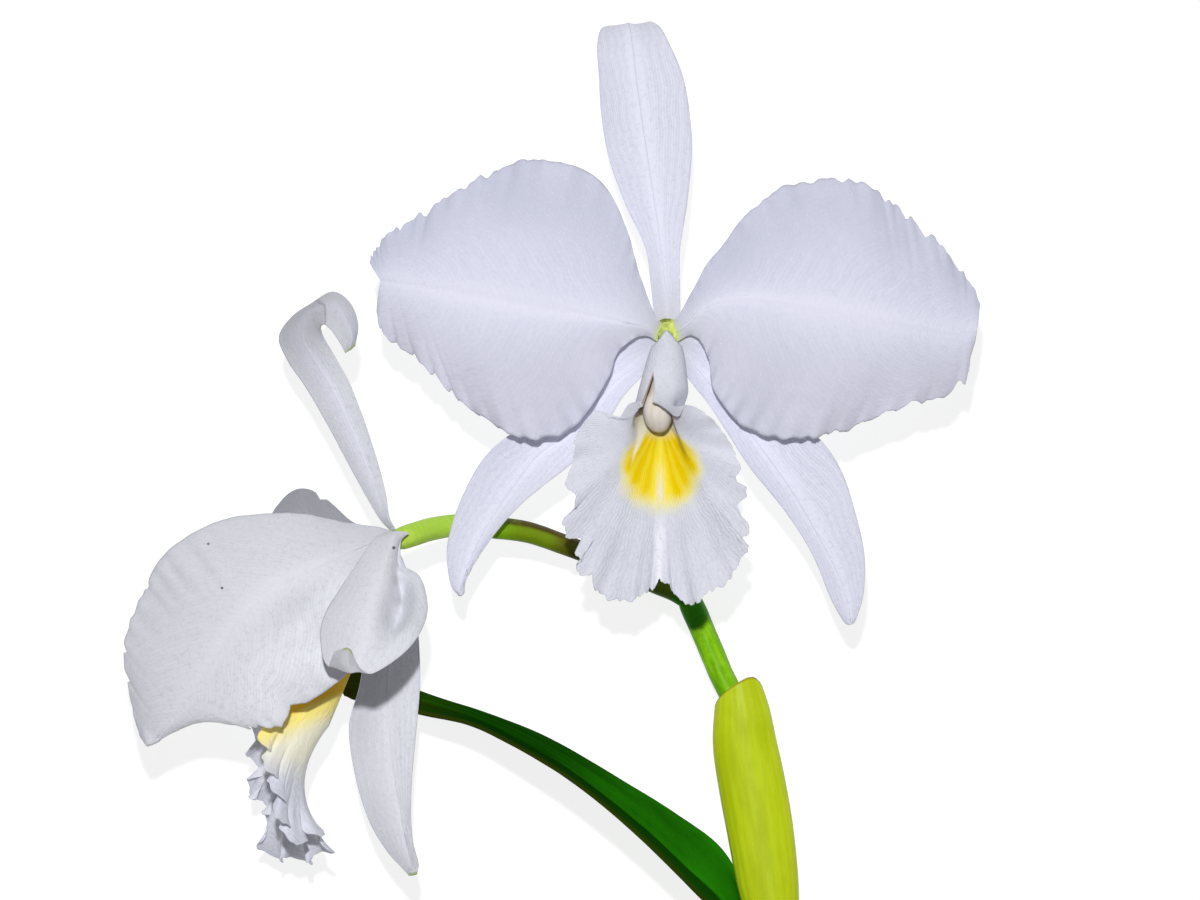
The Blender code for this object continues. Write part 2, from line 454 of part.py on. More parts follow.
def sheath(name, material, collection):
    """Flattened papery sleeve, open at both ends, with a slanted mouth."""
    def place(u, v):
        angle = 2.0 * pi * v
        slant = SHEATH_SLANT * (1.0 + cos(angle)) / 2.0 * (1.0 - u) ** 3
        return ring_spot(SHEATH_AXIS, SHEATH_HALF, u * (1.0 - slant) + slant, angle)

    return grid_object(name, SHEATH_GRID, place, SHEATH_WALL, material, collection, closed=True)


def bulb(name, material, collection):
    """Top of the thick storage stem, ribbed, with a plain cut end."""
    bm = bmesh.new()
    bmesh.ops.create_grid(bm, x_segments=BULB_GRID[0], y_segments=BULB_GRID[1], size=0.5)
    for vert in bm.verts:
        angle = 2.0 * pi * (vert.co.y + 0.5) - pi / 2.0
        spot = ring_spot(BULB_AXIS, BULB_HALF, vert.co.x + 0.5, angle, RIB_DEPTH)
        spot.z = max(spot.z, 0.0)
        vert.co = (spot + Vector((*CENTRE_SHIFT, 0.0))) * MM
    bmesh.ops.remove_doubles(bm, verts=bm.verts, dist=0.00001)
    bmesh.ops.holes_fill(bm, edges=bm.edges, sides=BULB_GRID[1])
    bmesh.ops.recalc_face_normals(bm, faces=bm.faces)
    mesh = bpy.data.meshes.new(name)
    bm.to_mesh(mesh)
    bm.free()
    mesh.materials.append(material)
    mesh.shade_smooth()
    mesh.set_sharp_from_angle(angle=radians(45))
    obj = bpy.data.objects.new(name, mesh)
    collection.objects.link(obj)
    return obj


def flower_a(collection, looks):
    """Large flower that faces up."""
    tepal = {"wall": TEPAL_WALL, "belly": 0.05, "wave": 0.5, "waves": 2.5, "phase": 0.4,
             "tooth": 0.0, "teeth": 1.0}
    petal = dict(tepal, belly=0.045, wave=1.6, waves=5.0, tooth=0.5, teeth=8.0)
    blade("dorsal_sepal_a", DORSAL_SEPAL_A, tepal, LONG_SEPAL_GRID, looks["tepal"], collection)
    blade("left_sepal_a", LEFT_SEPAL_A, tepal, SEPAL_GRID, looks["tepal"], collection)
    blade("right_sepal_a", RIGHT_SEPAL_A, tepal, SEPAL_GRID, looks["tepal"], collection)
    blade("left_petal_a", LEFT_PETAL_A, petal, PETAL_GRID, looks["tepal"], collection)
    blade("right_petal_a", RIGHT_PETAL_A, petal, PETAL_GRID, looks["tepal"], collection)
    frill = {"wave": 1.7, "waves": 12.0, "phase": 0.3, "tooth": 0.8, "pleat": 0.4, "pleats": 8.0,
             "full": 14.0}
    lip("lip_a", LIP_A, LIP_MARGIN_A, frill, LIP_A_GRID, looks["lip"], collection)
    column = tube("column_a", COLUMN_A, 12, looks["column"], collection)
    bpy.context.view_layer.update()
    as_mesh(column, collection)


def flower_b(collection, looks):
    """Side flower, seen from its outer side."""
    tepal = {"wall": TEPAL_WALL, "belly": 0.05, "wave": 0.4, "waves": 2.5, "phase": 1.1,
             "tooth": 0.0, "teeth": 1.0}
    petal = dict(tepal, belly=0.04, wave=1.3, waves=4.0, tooth=0.5, teeth=8.0)
    blade("dorsal_sepal_b", DORSAL_SEPAL_B, tepal, LONG_SEPAL_GRID, looks["tepal"], collection)
    blade("near_sepal_b", NEAR_SEPAL_B, tepal, WIDE_SEPAL_GRID, looks["tepal"], collection)
    blade("far_sepal_b", FAR_SEPAL_B, tepal, SEPAL_GRID, looks["tepal"], collection)
    blade("near_petal_b", NEAR_PETAL_B, petal, PETAL_GRID, looks["tepal"], collection)
    blade("far_petal_b", FAR_PETAL_B, petal, WIDE_SEPAL_GRID, looks["tepal"], collection)
    frill = {"wave": 2.0, "waves": 11.0, "phase": 0.9, "tooth": 1.0, "pleat": 0.4, "pleats": 8.0,
             "full": 14.0}
    far_half = [(-x, y, z) for x, y, z in reversed(LIP_HALF_MARGIN_B[1:])]
    lip("lip_b", LIP_B, far_half + LIP_HALF_MARGIN_B, frill, LIP_B_GRID, looks["lip"], collection)
    column = tube("column_b", COLUMN_B, 12, looks["column"], collection)
    bpy.context.view_layer.update()
    as_mesh(column, collection)


def main():
    for obj in list(bpy.data.objects):
        bpy.data.objects.remove(obj)
    collection = bpy.data.collections.new("cattleya_stem")
    bpy.context.scene.collection.children.link(collection)
    looks = {
        "tepal": principled("tepal", (0.70, 0.70, 0.78), 0.45),
        "lip": principled("lip", (0.80, 0.76, 0.52), 0.45),
        "column": principled("column", (0.85, 0.82, 0.66), 0.40),
        "stem": principled("stem", (0.16, 0.38, 0.02), 0.40),
        "sheath": principled("sheath", (0.42, 0.52, 0.03), 0.45),
        "leaf": principled("leaf", (0.01, 0.12, 0.01), 0.35),
        "pseudobulb": principled("pseudobulb", (0.14, 0.30, 0.03), 0.45),
    }
    flower_a(collection, looks)
    flower_b(collection, looks)
    stems = [
        tube("peduncle", PEDUNCLE, 18, looks["stem"], collection),
        tube("pedicel_a", PEDICEL_A, 20, looks["stem"], collection),
        tube("pedicel_b", PEDICEL_B, 18, looks["stem"], collection),
    ]
    join("flower_stem", stems, collection)
    sheath("sheath", looks["sheath"], collection)
    leaf_look = {"wall": LEAF_WALL, "belly": 0.04, "wave": 0.3, "waves": 2.0, "phase": 0.0,
                 "tooth": 0.0, "teeth": 1.0}
    blade("leaf", LEAF, leaf_look, LEAF_GRID, looks["leaf"], collection)
    bulb("pseudobulb_top", looks["pseudobulb"], collection)


main()
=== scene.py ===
# Cut cattleya stem with two white flowers, laid down: fine petals, frilled lips, leaf, sheath and stems
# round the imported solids. Layout lists are in millimetres, like the ones the solids were made from.
from math import cos, exp, pi, radians, sin
from types import SimpleNamespace
import bmesh
import bpy
from mathutils import Matrix, Vector, noise


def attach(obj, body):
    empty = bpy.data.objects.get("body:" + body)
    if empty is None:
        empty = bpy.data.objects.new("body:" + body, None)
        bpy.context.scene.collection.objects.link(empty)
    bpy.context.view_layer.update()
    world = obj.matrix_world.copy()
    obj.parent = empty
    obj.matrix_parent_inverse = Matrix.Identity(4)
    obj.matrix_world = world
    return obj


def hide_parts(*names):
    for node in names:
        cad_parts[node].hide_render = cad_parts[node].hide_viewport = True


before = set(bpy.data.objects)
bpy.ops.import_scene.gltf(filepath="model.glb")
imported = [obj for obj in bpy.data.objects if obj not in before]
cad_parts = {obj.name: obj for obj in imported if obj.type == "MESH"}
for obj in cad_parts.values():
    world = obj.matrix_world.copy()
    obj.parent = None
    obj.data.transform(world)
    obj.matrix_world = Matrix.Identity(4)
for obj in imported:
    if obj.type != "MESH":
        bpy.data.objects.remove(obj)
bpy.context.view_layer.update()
print("frame loaded:", len(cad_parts), "nodes")

mm = 0.001
fullTurn = 2.0 * pi
centreShift = Vector((0.69, 0.43, 0.0))  # same shift of the layout as in the solids


# shared curve and sheet helpers
def between(values, at):
    # smooth curve through equally spaced values, at from 0 to 1
    place = min(max(at, 0.0), 1.0) * (len(values) - 1)
    index = min(int(place), len(values) - 2)
    t = place - index
    p1 = Vector(values[index])
    p2 = Vector(values[index + 1])
    p0 = Vector(values[index - 1]) if index > 0 else 2.0 * p1 - p2
    p3 = Vector(values[index + 2]) if index + 2 < len(values) else 2.0 * p2 - p1
    return 0.5 * (2.0 * p1 + (p2 - p0) * t + (2.0 * p0 - 5.0 * p1 + 4.0 * p2 - p3) * t * t
                  + (3.0 * p1 - p0 - 3.0 * p2 + p3) * t * t * t)


def ease(low, high, x):
    t = min(max((x - low) / (high - low), 0.0), 1.0)
    return t * t * (3.0 - 2.0 * t)


def hump(x, centre, width):
    return exp(-((x - centre) / width) ** 2)


def roughNoise(x, y, seed):
    return noise.noise(Vector((x, y, seed * 7.31)))


def addObject(name, data):
    obj = bpy.data.objects.new(name, data)
    bpy.context.scene.collection.objects.link(obj)
    return obj


def storeField(mesh, name, values, kind="FLOAT", key="value"):
    mesh.attributes.new(name, kind, "POINT").data.foreach_set(key, values)


def sheetMesh(name, grid, closed=False, thin=None, vectors=()):
    # grid is rows of points in mm; the sheet carries along and across (0 to 1) and a UV map
    rows, columns = len(grid), len(grid[0])
    span = columns if closed else columns - 1
    places = [(i / (rows - 1), j / span) for i in range(rows) for j in range(columns)]
    faces, uvs = [], []
    for i in range(rows - 1):
        u0, u1 = i / (rows - 1), (i + 1) / (rows - 1)
        for j in range(span):
            k = (j + 1) % columns
            faces.append((i * columns + j, (i + 1) * columns + j, (i + 1) * columns + k, i * columns + k))
            v0, v1 = j / span, (j + 1) / span
            uvs += [u0, v0, u1, v0, u1, v1, u0, v1]
    mesh = bpy.data.meshes.new(name)
    mesh.from_pydata([(point + centreShift) * mm for row in grid for point in row], [], faces)
    mesh.uv_layers.new(name="UVMap").data.foreach_set("uv", uvs)
    storeField(mesh, "along", [u for u, v in places])
    storeField(mesh, "across", [v for u, v in places])
    for label, field in vectors:
        parts = [part for row in field for point in row for part in point]
        storeField(mesh, label, parts, "FLOAT_VECTOR", "vector")
    mesh.shade_smooth()
    obj = addObject(name, mesh)
    if thin:
        group = obj.vertex_groups.new(name="wallShare")
        for number, (u, v) in enumerate(places):
            group.add([number], thin(u, v), "REPLACE")
    return obj


def addWall(obj, thickness, rim=0.35):
    wall = obj.modifiers.new("Wall", "SOLIDIFY")
    wall.thickness = thickness * mm
    wall.offset = 0.0
    if "wallShare" in obj.vertex_groups:
        wall.vertex_group = "wallShare"
        wall.thickness_vertex_group = rim


def evaluatedMesh(obj):
    bpy.context.view_layer.update()
    return bpy.data.meshes.new_from_object(obj.evaluated_get(bpy.context.evaluated_depsgraph_get()))


def settle(obj):
    # live modifiers become a plain mesh
    mesh = evaluatedMesh(obj)
    obj.modifiers.clear()
    obj.data = mesh
    obj.vertex_groups.clear()
    mesh.name = obj.name
    return obj


# node helpers; a socket knows its own tree, so the arithmetic ones need none handed to them
def link(value, socket):
    if isinstance(value, bpy.types.NodeSocket):
        socket.id_data.links.new(value, socket)
    else:
        socket.default_value = value


def fill(node, values):
    for name, value in values.items():
        link(value, node.inputs[name])


def addNode(tree, kind, values=(), **settings):
    node = tree.nodes.new(kind)
    for name, setting in settings.items():
        setattr(node, name, setting)
    fill(node, dict(values))
    return node


def mathNode(operation, *values):
    tree = next(value.id_data for value in values if isinstance(value, bpy.types.NodeSocket))
    return addNode(tree, "ShaderNodeMath", enumerate(values), operation=operation).outputs[0]


def times(total, *others):
    for other in others:
        total = mathNode("MULTIPLY", total, other)
    return total


def timesPlus(a, b, c):
    return mathNode("MULTIPLY_ADD", a, b, c)


def minus(a, b):
    return mathNode("SUBTRACT", a, b)


def size(value):
    return mathNode("ABSOLUTE", value)


def step(value, low, high, bottom=0.0, top=1.0):
    return addNode(value.id_data, "ShaderNodeMapRange", enumerate((value, low, high, bottom, top)),
                   interpolation_type="SMOOTHSTEP").outputs[0]


def stripes(turns, kind="SINE"):
    return mathNode(kind, times(turns, fullTurn))


def sideOf(across):
    # 0 on the midrib, 1 on both margins
    return size(timesPlus(across, 2.0, -1.0))


def noiseAt(place, scale, detail=2.0, roughness=0.5, seed=None):
    node = addNode(place.id_data, "ShaderNodeTexNoise",
                   {"Vector": place, "Scale": scale, "Detail": detail, "Roughness": roughness},
                   noise_dimensions="3D" if seed is None else "4D")
    if seed is not None:
        link(seed, node.inputs["W"])
    return node.outputs["Fac"]


def axes(vector):
    return addNode(vector.id_data, "ShaderNodeSeparateXYZ", {0: vector}).outputs


def named(tree, name):
    return addNode(tree, "GeometryNodeInputNamedAttribute", {"Name": name}).outputs[0]


def openTree(name, numbers, counts=()):
    tree = bpy.data.node_groups.new(name, "GeometryNodeTree")
    tree.interface.new_socket("Geometry", in_out="OUTPUT", socket_type="NodeSocketGeometry")
    sockets = [("Geometry", "Geometry"), *((label, "Int") for label in counts),
               *((label, "Float") for label in numbers), ("Material", "Material")]
    for label, kind in sockets:
        tree.interface.new_socket(label, in_out="INPUT", socket_type="NodeSocket" + kind)
    return tree, addNode(tree, "NodeGroupInput").outputs


def closeTree(tree, geometry, height, material):
    # height in mm pushes the surface out along its normal
    normal = addNode(tree, "GeometryNodeInputNormal").outputs[0]
    move = addNode(tree, "ShaderNodeVectorMath", operation="SCALE")
    fill(move, {0: normal, "Scale": times(height, mm)})
    moved = addNode(tree, "GeometryNodeSetPosition", {"Geometry": geometry, "Offset": move.outputs[0]})
    real = addNode(tree, "GeometryNodeRealizeInstances", {"Geometry": moved.outputs[0]})
    painted = addNode(tree, "GeometryNodeSetMaterial", {"Geometry": real.outputs[0], "Material": material})
    addNode(tree, "NodeGroupOutput", {"Geometry": painted.outputs[0]})
    return tree


def useTree(obj, tree, values, paint):
    values = dict(values, Material=paint)
    modifier = obj.modifiers.new(tree.name, "NODES")
    modifier.node_group = tree
    for item in tree.interface.items_tree:
        if item.item_type == "SOCKET" and item.in_out == "INPUT" and item.name in values:
            modifier[item.identifier] = values[item.name]


plainRelief = dict(
    veinCount=30.0, veinSlant=0.25, veinCurve=1.3, veinDepth=0.0, ribCount=0.0, ribDepth=0.0,
    midribDepth=0.0, midribWidth=0.05, rippleHeight=0.0, rippleSize=120.0, seed=1.0)


def makeReliefTree():
    # veins, midrib and margin ripple over any sheet that carries along and across
    tree, given = openTree("surfaceRelief", plainRelief)
    along, across = named(tree, "along"), named(tree, "across")
    side = sideOf(across)
    position = addNode(tree, "GeometryNodeInputPosition").outputs[0]
    lane = minus(along, times(mathNode("POWER", side, given["veinCurve"]), given["veinSlant"]))
    wander = times(noiseAt(position, 60.0, seed=given["seed"]), 1.6)
    veins = stripes(timesPlus(lane, given["veinCount"], wander))
    total = times(veins, given["veinDepth"], step(side, 0.03, 0.3), step(along, 0.04, 0.2))
    ribs = stripes(times(across, given["ribCount"]), "COSINE")
    total = timesPlus(ribs, given["ribDepth"], total)
    trough = mathNode("DIVIDE", side, given["midribWidth"])
    trough = mathNode("EXPONENT", times(trough, trough, -1.0))
    total = minus(total, times(trough, given["midribDepth"], step(along, 1.0, 0.86)))
    ripple = noiseAt(position, given["rippleSize"], seed=mathNode("ADD", given["seed"], 3.7))
    swing = times(minus(ripple, 0.5), given["rippleHeight"])
    rippleMask = times(step(side, 0.35, 1.0), step(along, 0.1, 0.4))
    return closeTree(tree, given["Geometry"], timesPlus(swing, rippleMask, total), given["Material"])


def makeStemTree():
    # round stem along a curve, with faint ridges
    tree, given = openTree("stemSweep", ("ridges", "ridgeDepth", "unevenness", "seed"), ("rings", "sides"))

    def keepFactor(label, curve):
        factor = addNode(tree, "GeometryNodeSplineParameter").outputs["Factor"]
        return addNode(tree, "GeometryNodeStoreNamedAttribute",
                       {"Geometry": curve, "Name": label, "Value": factor}).outputs[0]

    even = addNode(tree, "GeometryNodeResampleCurve", {"Curve": given["Geometry"], "Count": given["rings"]})
    circle = addNode(tree, "GeometryNodeCurvePrimitiveCircle", {"Resolution": given["sides"], "Radius": 1.0})
    sweep = addNode(tree, "GeometryNodeCurveToMesh", {
        "Curve": keepFactor("along", even.outputs["Curve"]),
        "Profile Curve": keepFactor("across", circle.outputs["Curve"]),
        "Scale": addNode(tree, "GeometryNodeInputRadius").outputs[0], "Fill Caps": True})
    smooth = addNode(tree, "GeometryNodeSetShadeSmooth", {"Geometry": sweep.outputs["Mesh"]})
    ridges = stripes(times(named(tree, "across"), given["ridges"]), "COSINE")
    position = addNode(tree, "GeometryNodeInputPosition").outputs[0]
    lumps = minus(noiseAt(position, 160.0, seed=given["seed"]), 0.5)
    height = timesPlus(lumps, given["unevenness"], times(ridges, given["ridgeDepth"]))
    return closeTree(tree, smooth.outputs["Geometry"], height, given["Material"])


reliefTree = makeReliefTree()
stemTree = makeStemTree()
print("node trees built")


# finishes
def newFinish(name, look):
    material = bpy.data.materials.new(name)
    material.use_nodes = True
    shader = material.node_tree.nodes["Principled BSDF"]
    fill(shader, {"Roughness": look.roughness, "Specular IOR Level": look.specular})
    return material, shader


def mix(share, first, second):
    first, second = ((*tint, 1.0) if isinstance(tint, tuple) else tint for tint in (first, second))
    node = addNode(share.id_data, "ShaderNodeMix", data_type="RGBA")
    fill(node, {"Factor": share, "A": first, "B": second})
    return node.outputs["Result"]


def layered(colour, look, layers):
    # layers: (share, name of its tint), each laid over the last
    for share, tint in layers:
        colour = mix(share, colour, getattr(look, tint))
    return colour


def attributeAt(tree, name, output="Fac"):
    return addNode(tree, "ShaderNodeAttribute", attribute_name=name).outputs[output]


def sheetFields(tree):
    across = attributeAt(tree, "across")
    place = addNode(tree, "ShaderNodeTexCoord").outputs["Object"]
    return attributeAt(tree, "along"), across, sideOf(across), place


def closeFinish(shader, colour, look, bumps):
    # bumps: (height, distance in mm), each on top of the last
    fill(shader, {"Base Color": colour, "Subsurface Weight": look.soft,
                  "Subsurface Radius": look.softTint, "Subsurface Scale": look.softScale})
    normal = None
    for height, distance in bumps:
        bump = addNode(shader.id_data, "ShaderNodeBump", {"Height": height, "Distance": distance * mm})
        if normal:
            link(normal, bump.inputs["Normal"])
        normal = bump.outputs["Normal"]
    link(normal, shader.inputs["Normal"])


def skinFields(place, look):
    # slow drift, cloudy patches, fine grain, and glittering cells whose glints are painted as pale specks
    drift = noiseAt(place, look.driftSize, 3.0)
    cloud = step(noiseAt(place, look.cloudSize, 4.0), 0.35, 0.75)
    grainy = noiseAt(place, 800.0, 4.0, 0.7)
    speckle = noiseAt(place, 2600.0)
    return drift, cloud, grainy, step(grainy, 0.50, 0.34), speckle, step(speckle, 0.60, 0.74)


def addSpots(place, colour, spots):
    # spots: (x, y, solid radius, faded radius, strength, tint), in mm and seen along z
    x, y, z = axes(place)
    for spotX, spotY, solid, faded, strength, tint in spots:
        acrossX, acrossY = minus(x, spotX * mm), minus(y, spotY * mm)
        distance = mathNode("SQRT", timesPlus(acrossX, acrossX, times(acrossY, acrossY)))
        colour = mix(times(step(distance, faded * mm, solid * mm), strength), colour, tint)
    return colour


petalFinish = dict(
    white=(0.665, 0.675, 0.795), outer=(0.52, 0.542, 0.655), shade=(0.54, 0.552, 0.665),
    rib=(0.74, 0.735, 0.85), spark=(0.88, 0.88, 0.95), base=(0.62, 0.66, 0.48), eye=(0.74, 0.83, 0.16),
    tip=(0.36, 0.44, 0.16), lower=(0.62, 0.612, 0.705), neck=(0.58, 0.588, 0.625),
    roughness=0.52, specular=0.12, sheen=0.05, soft=0.12, softTint=(1.0, 0.9, 1.0), softScale=0.0012,
    veinShare=0.3, grain=0.3, glitter=0.3, darkRib=0.0, greenTip=0.0, driftSize=90.0, cloudSize=45.0,
    veins=(64.0, 0.34, 1.25),  # how many, how slanted, how curved
    dim=(),  # along from, along to, strength and end of a stretch in a fold's shade, closed by a crease
    spots=())
sepalVeins = (18.0, 0.9, 1.0)
sepalFinish = dict(
    petalFinish, white=(0.742, 0.748, 0.866), outer=(0.69, 0.697, 0.81), shade=(0.5, 0.51, 0.62),
    rib=(0.72, 0.72, 0.84), lower=(0.72, 0.725, 0.83), neck=(0.5, 0.502, 0.52), veins=sepalVeins,
    darkRib=0.6, glitter=0.6)
sideFinish = dict(
    petalFinish, white=(0.66, 0.668, 0.725), outer=(0.56, 0.57, 0.62), shade=(0.5, 0.51, 0.56),
    rib=(0.71, 0.712, 0.77), spark=(0.86, 0.86, 0.9), base=(0.6, 0.61, 0.64), eye=(0.6, 0.61, 0.62),
    lower=(0.74, 0.757, 0.82), veinShare=0.18, grain=0.42)
# the side flower's far petal: all its whites painted darker and its margins darkest, as painted shade of a
# petal sloping away from the light
farPetalShadedFinish = dict(
    sideFinish, white=(0.6, 0.608, 0.665), outer=(0.3, 0.305, 0.34), shade=(0.3, 0.305, 0.34),
    rib=(0.62, 0.625, 0.68), spark=(0.6, 0.6, 0.64), lower=(0.36, 0.365, 0.4), veinShare=0.4)
dirt = (0.05, 0.045, 0.05)
foldShade = (0.36, 0.365, 0.39)
sidePetalFinish = dict(
    sideFinish, outer=(0.6, 0.608, 0.655), lower=(0.8, 0.81, 0.87), dim=(0.84, 1.0, 0.14, 1.1),
    spots=[(-92.0, -7.3, 0.22, 0.45, 0.8, dirt), (-88.0, -19.0, 0.25, 0.45, 0.9, dirt)])
sideSepalFinish = dict(
    sideFinish, veins=sepalVeins, greenTip=0.04, darkRib=0.3, glitter=0.45, dim=(0.55, 0.95, 0.1, 1.1))
nearSepalFinish = dict(
    sideFinish, white=(0.69, 0.69, 0.74), outer=(0.64, 0.645, 0.69), veins=sepalVeins, greenTip=0.06,
    glitter=0.55, dim=(0.74, 0.86, 0.4, 1.1), spots=[
        (-42.4, -8.4, 0.3, 0.55, 0.9, dirt), (-36.4, -20.5, 0.5, 7.0, 0.26, foldShade),
        (-35.8, -27.5, 0.5, 7.0, 0.3, foldShade), (-41.4, -17.0, 0.2, 2.2, 0.35, foldShade),
        (-40.4, -22.5, 0.2, 2.4, 0.35, foldShade)])
hookFinish = dict(
    sideFinish, white=(0.7, 0.71, 0.8), rib=(0.7, 0.71, 0.79), veins=sepalVeins, greenTip=0.03,
    glitter=0.45, dim=(0.34, 0.58, 0.45, 0.71))


def makeTepalFinish(name, look):
    look = SimpleNamespace(**look)
    material, shader = newFinish(name, look)
    along, across, side, place = sheetFields(material.node_tree)
    count, slant, curve = look.veins
    bend = times(mathNode("POWER", side, curve), slant)
    drift, cloud, grainy, grainShare, speckle, paintedGlints = skinFields(place, look)

    def veinLines(number, wander):
        # they leave the midrib and run out to the margin
        return stripes(timesPlus(minus(along, bend), number, times(drift, wander)))

    fine, broad = veinLines(count, 3.2), veinLines(count * 0.31, 2.6)
    veinMask = times(step(side, 0.02, 0.35), look.veinShare)
    colour = layered(look.white, look, [
        # darker margins: partly the tepal's own bluish-grey margin tone, partly painted shade where the
        # margins curve away from the light
        (step(side, 0.08, 0.85), "outer"),
        # painted light: the half past the midrib towards the right edge (the lower half on the large flower's
        # petals) is tinted lighter than the other margin, as if it faced the light more
        (times(step(across, 0.5, 0.85), 0.8), "lower"),
        (times(step(along, 0.25, 0.03), 0.7), "neck"),
        (times(timesPlus(fine, 0.5, 0.5), veinMask), "shade"),
        (times(timesPlus(broad, 0.5, 0.5), veinMask, 0.8), "shade"),
        (times(cloud, 0.22), "rib"),
        (times(grainShare, look.grain), "shade"),
        (times(step(side, 0.16, 0.0), step(along, 0.98, 0.55), 0.55), "rib"),
        (times(step(side, 0.022, 0.004), look.darkRib), "shade"),
        (times(step(side, 0.90, 1.0), 0.35), "shade"),
        # painted glints of the skin's glittering cells
        (times(paintedGlints, look.glitter), "spark"),
    ])
    if look.dim:
        # painted shade of a fold over this stretch of the blade, and a painted dark line for the crease at
        # its end
        low, high, strength, end = look.dim
        dark = tuple(0.5 * part for part in look.shade)
        share = times(step(along, low, high), step(along, end + 0.012, end - 0.004, 0.7, 1.0), strength)
        colour = mix(share, colour, dark)
        colour = mix(times(step(size(minus(along, end)), 0.012, 0.002), strength), colour, dark)
    colour = layered(colour, look, [(step(along, 0.06, 0.02), "base"), (step(along, 0.030, 0.008), "eye")])
    if look.greenTip:
        colour = mix(times(step(along, 1.0 - look.greenTip, 1.0), 0.9), colour, look.tip)
    colour = addSpots(place, colour, look.spots)
    fill(shader, {"Sheen Weight": look.sheen})
    closeFinish(shader, colour, look, [(fine, 0.012), (grainy, 0.09), (speckle, 0.05)])
    return material


lipFinish = dict(
    white=(0.65, 0.665, 0.745), shade=(0.5, 0.515, 0.6), ridge=(0.86, 0.86, 0.94), yellow=(0.85, 0.605, 0.0),
    paleYellow=(0.93, 0.78, 0.06), halo=(0.85, 0.8, 0.42), cream=(0.9, 0.84, 0.64), gold=(0.46, 0.3, 0.004),
    rim=(0.33, 0.19, 0.04), spark=(0.88, 0.88, 0.92), roughness=0.52, specular=0.06, soft=0.12,
    softTint=(1.0, 0.9, 0.9), softScale=0.0012, driftSize=220.0, cloudSize=70.0)


def makeLipFinish(name, fan):
    # fan: where the yellow patch sits, in the lip's own millimetres
    look = SimpleNamespace(**lipFinish)
    material, shader = newFinish(name, look)
    tree = material.node_tree
    along, across, side, place = sheetFields(tree)
    spot = dict(zip("xyz", axes(attributeAt(tree, "lipSpot", "Vector"))))
    # inner is 1 on the face towards the tube's axis and 0 on the outer face
    facing = addNode(tree, "ShaderNodeVectorMath", operation="DOT_PRODUCT")
    fill(facing, {0: addNode(tree, "ShaderNodeNewGeometry").outputs["Normal"],
                  1: attributeAt(tree, "inward", "Vector")})
    inner = step(facing.outputs["Value"], -0.06, 0.06)
    x, y = minus(spot["x"], fan["x"]), minus(fan["y"], spot["y"])
    angle = mathNode("ARCTAN2", x, y)
    reach = mathNode("SQRT", timesPlus(x, x, times(y, y)))
    fromMiddle, turned = size(x), size(angle)
    drift, cloud, grainy, grainShare, speckle, paintedGlints = skinFields(place, look)
    centredDrift = minus(drift, 0.5)
    threads = mathNode("SINE", timesPlus(angle, 210.0, times(drift, 26.0)))
    long, wide = fan["long"], fan["wide"]
    # the fan has a ragged margin, a pale halo, brighter lobes and pale rays
    ragged = mathNode("ADD", reach, timesPlus(threads, 0.35, times(centredDrift, 4.0)))
    ragged = timesPlus(times(turned, turned), fan["curl"], ragged)
    halo = times(step(ragged, long * 1.08, long * 0.88), step(turned, wide * 1.3, wide * 0.9), inner)
    body = times(step(ragged, long * 0.98, long * 0.76), step(turned, wide * 1.12, wide * 0.86), inner)
    rays = mathNode("SINE", timesPlus(angle, 31.0, times(drift, 3.0)))
    lobes = times(step(turned, -0.02, wide * 0.36), timesPlus(rays, 0.36, 0.86))
    colour = layered(look.white, look, [
        (times(timesPlus(threads, 0.13, 0.13), step(reach, 14.0, 34.0)), "shade"),
        (times(cloud, 0.25), "ridge"),
        (times(step(fromMiddle, 2.4, 0.3), step(y, long * 0.8, long * 1.3), 0.9), "ridge"),
        (times(grainShare, 0.35), "shade"),
        # painted glints of the skin's glittering cells
        (times(paintedGlints, 0.3), "spark"),
        (times(halo, 0.85), "halo"),
        (body, "paleYellow"),
        (times(body, lobes), "yellow"),
        (times(step(fromMiddle, 1.8, 0.2), step(y, long * 0.35, long * 0.85), body, 0.6), "ridge"),
        # inside of the tube: cream, golden deeper in, brown along the slit's edge; outside stays white
        (times(step(along, 0.43, 0.36), inner, step(side, 0.75, 0.4), 0.75), "cream"),
        (times(step(along, 0.36, 0.12), step(side, 0.55, 0.2), inner, 0.7), "gold"),
        (times(step(across, 0.012, 0.004), step(along, 0.42, 0.38), step(along, 0.08, 0.2), 0.8), "rim"),
    ])
    for tint, strength, edges in fan["patches"]:
        # a patch is where every (axis, slope along y, low, high) step is on
        share = times(mathNode("MAXIMUM", inner, fan["outside"]), strength)
        for axis, slope, low, high in edges:
            source = timesPlus(centredDrift, 1.2, timesPlus(spot["y"], slope, spot[axis]))
            share = times(share, step(source, low, high))
        colour = mix(share, colour, tint)
    closeFinish(shader, colour, look, [(threads, 0.03), (grainy, 0.09), (speckle, 0.05)])
    return material


# stems, sheath, leaf and storage stem: streaks along the piece and soft mottling
greenFinish = dict(
    streakLong=4.0, streaks=5.0, turn=fullTurn, specular=0.12, soft=0.05, softTint=(0.6, 1.0, 0.2),
    softScale=0.001, streakBump=0.05, spots=(), olive=None)


def addOliveAndShade(place, mottle, colour, olive):
    # the stretch of stem between two x values turns olive and darker, partly its own colour and partly
    # painted shade under the large flower, with a red-brown back
    x, y, z = axes(place)
    x = timesPlus(minus(mottle, 0.5), 0.012, x)
    share = times(step(x, *olive["left"]), step(x, *olive["right"]), step(y, *olive["low"]))
    colour = mix(times(share, 0.85), colour, olive["tint"])
    facing = axes(addNode(place.id_data, "ShaderNodeNewGeometry").outputs["Normal"])
    return mix(times(step(facing[1], 0.1, 0.6), share, 0.9), colour, olive["back"])


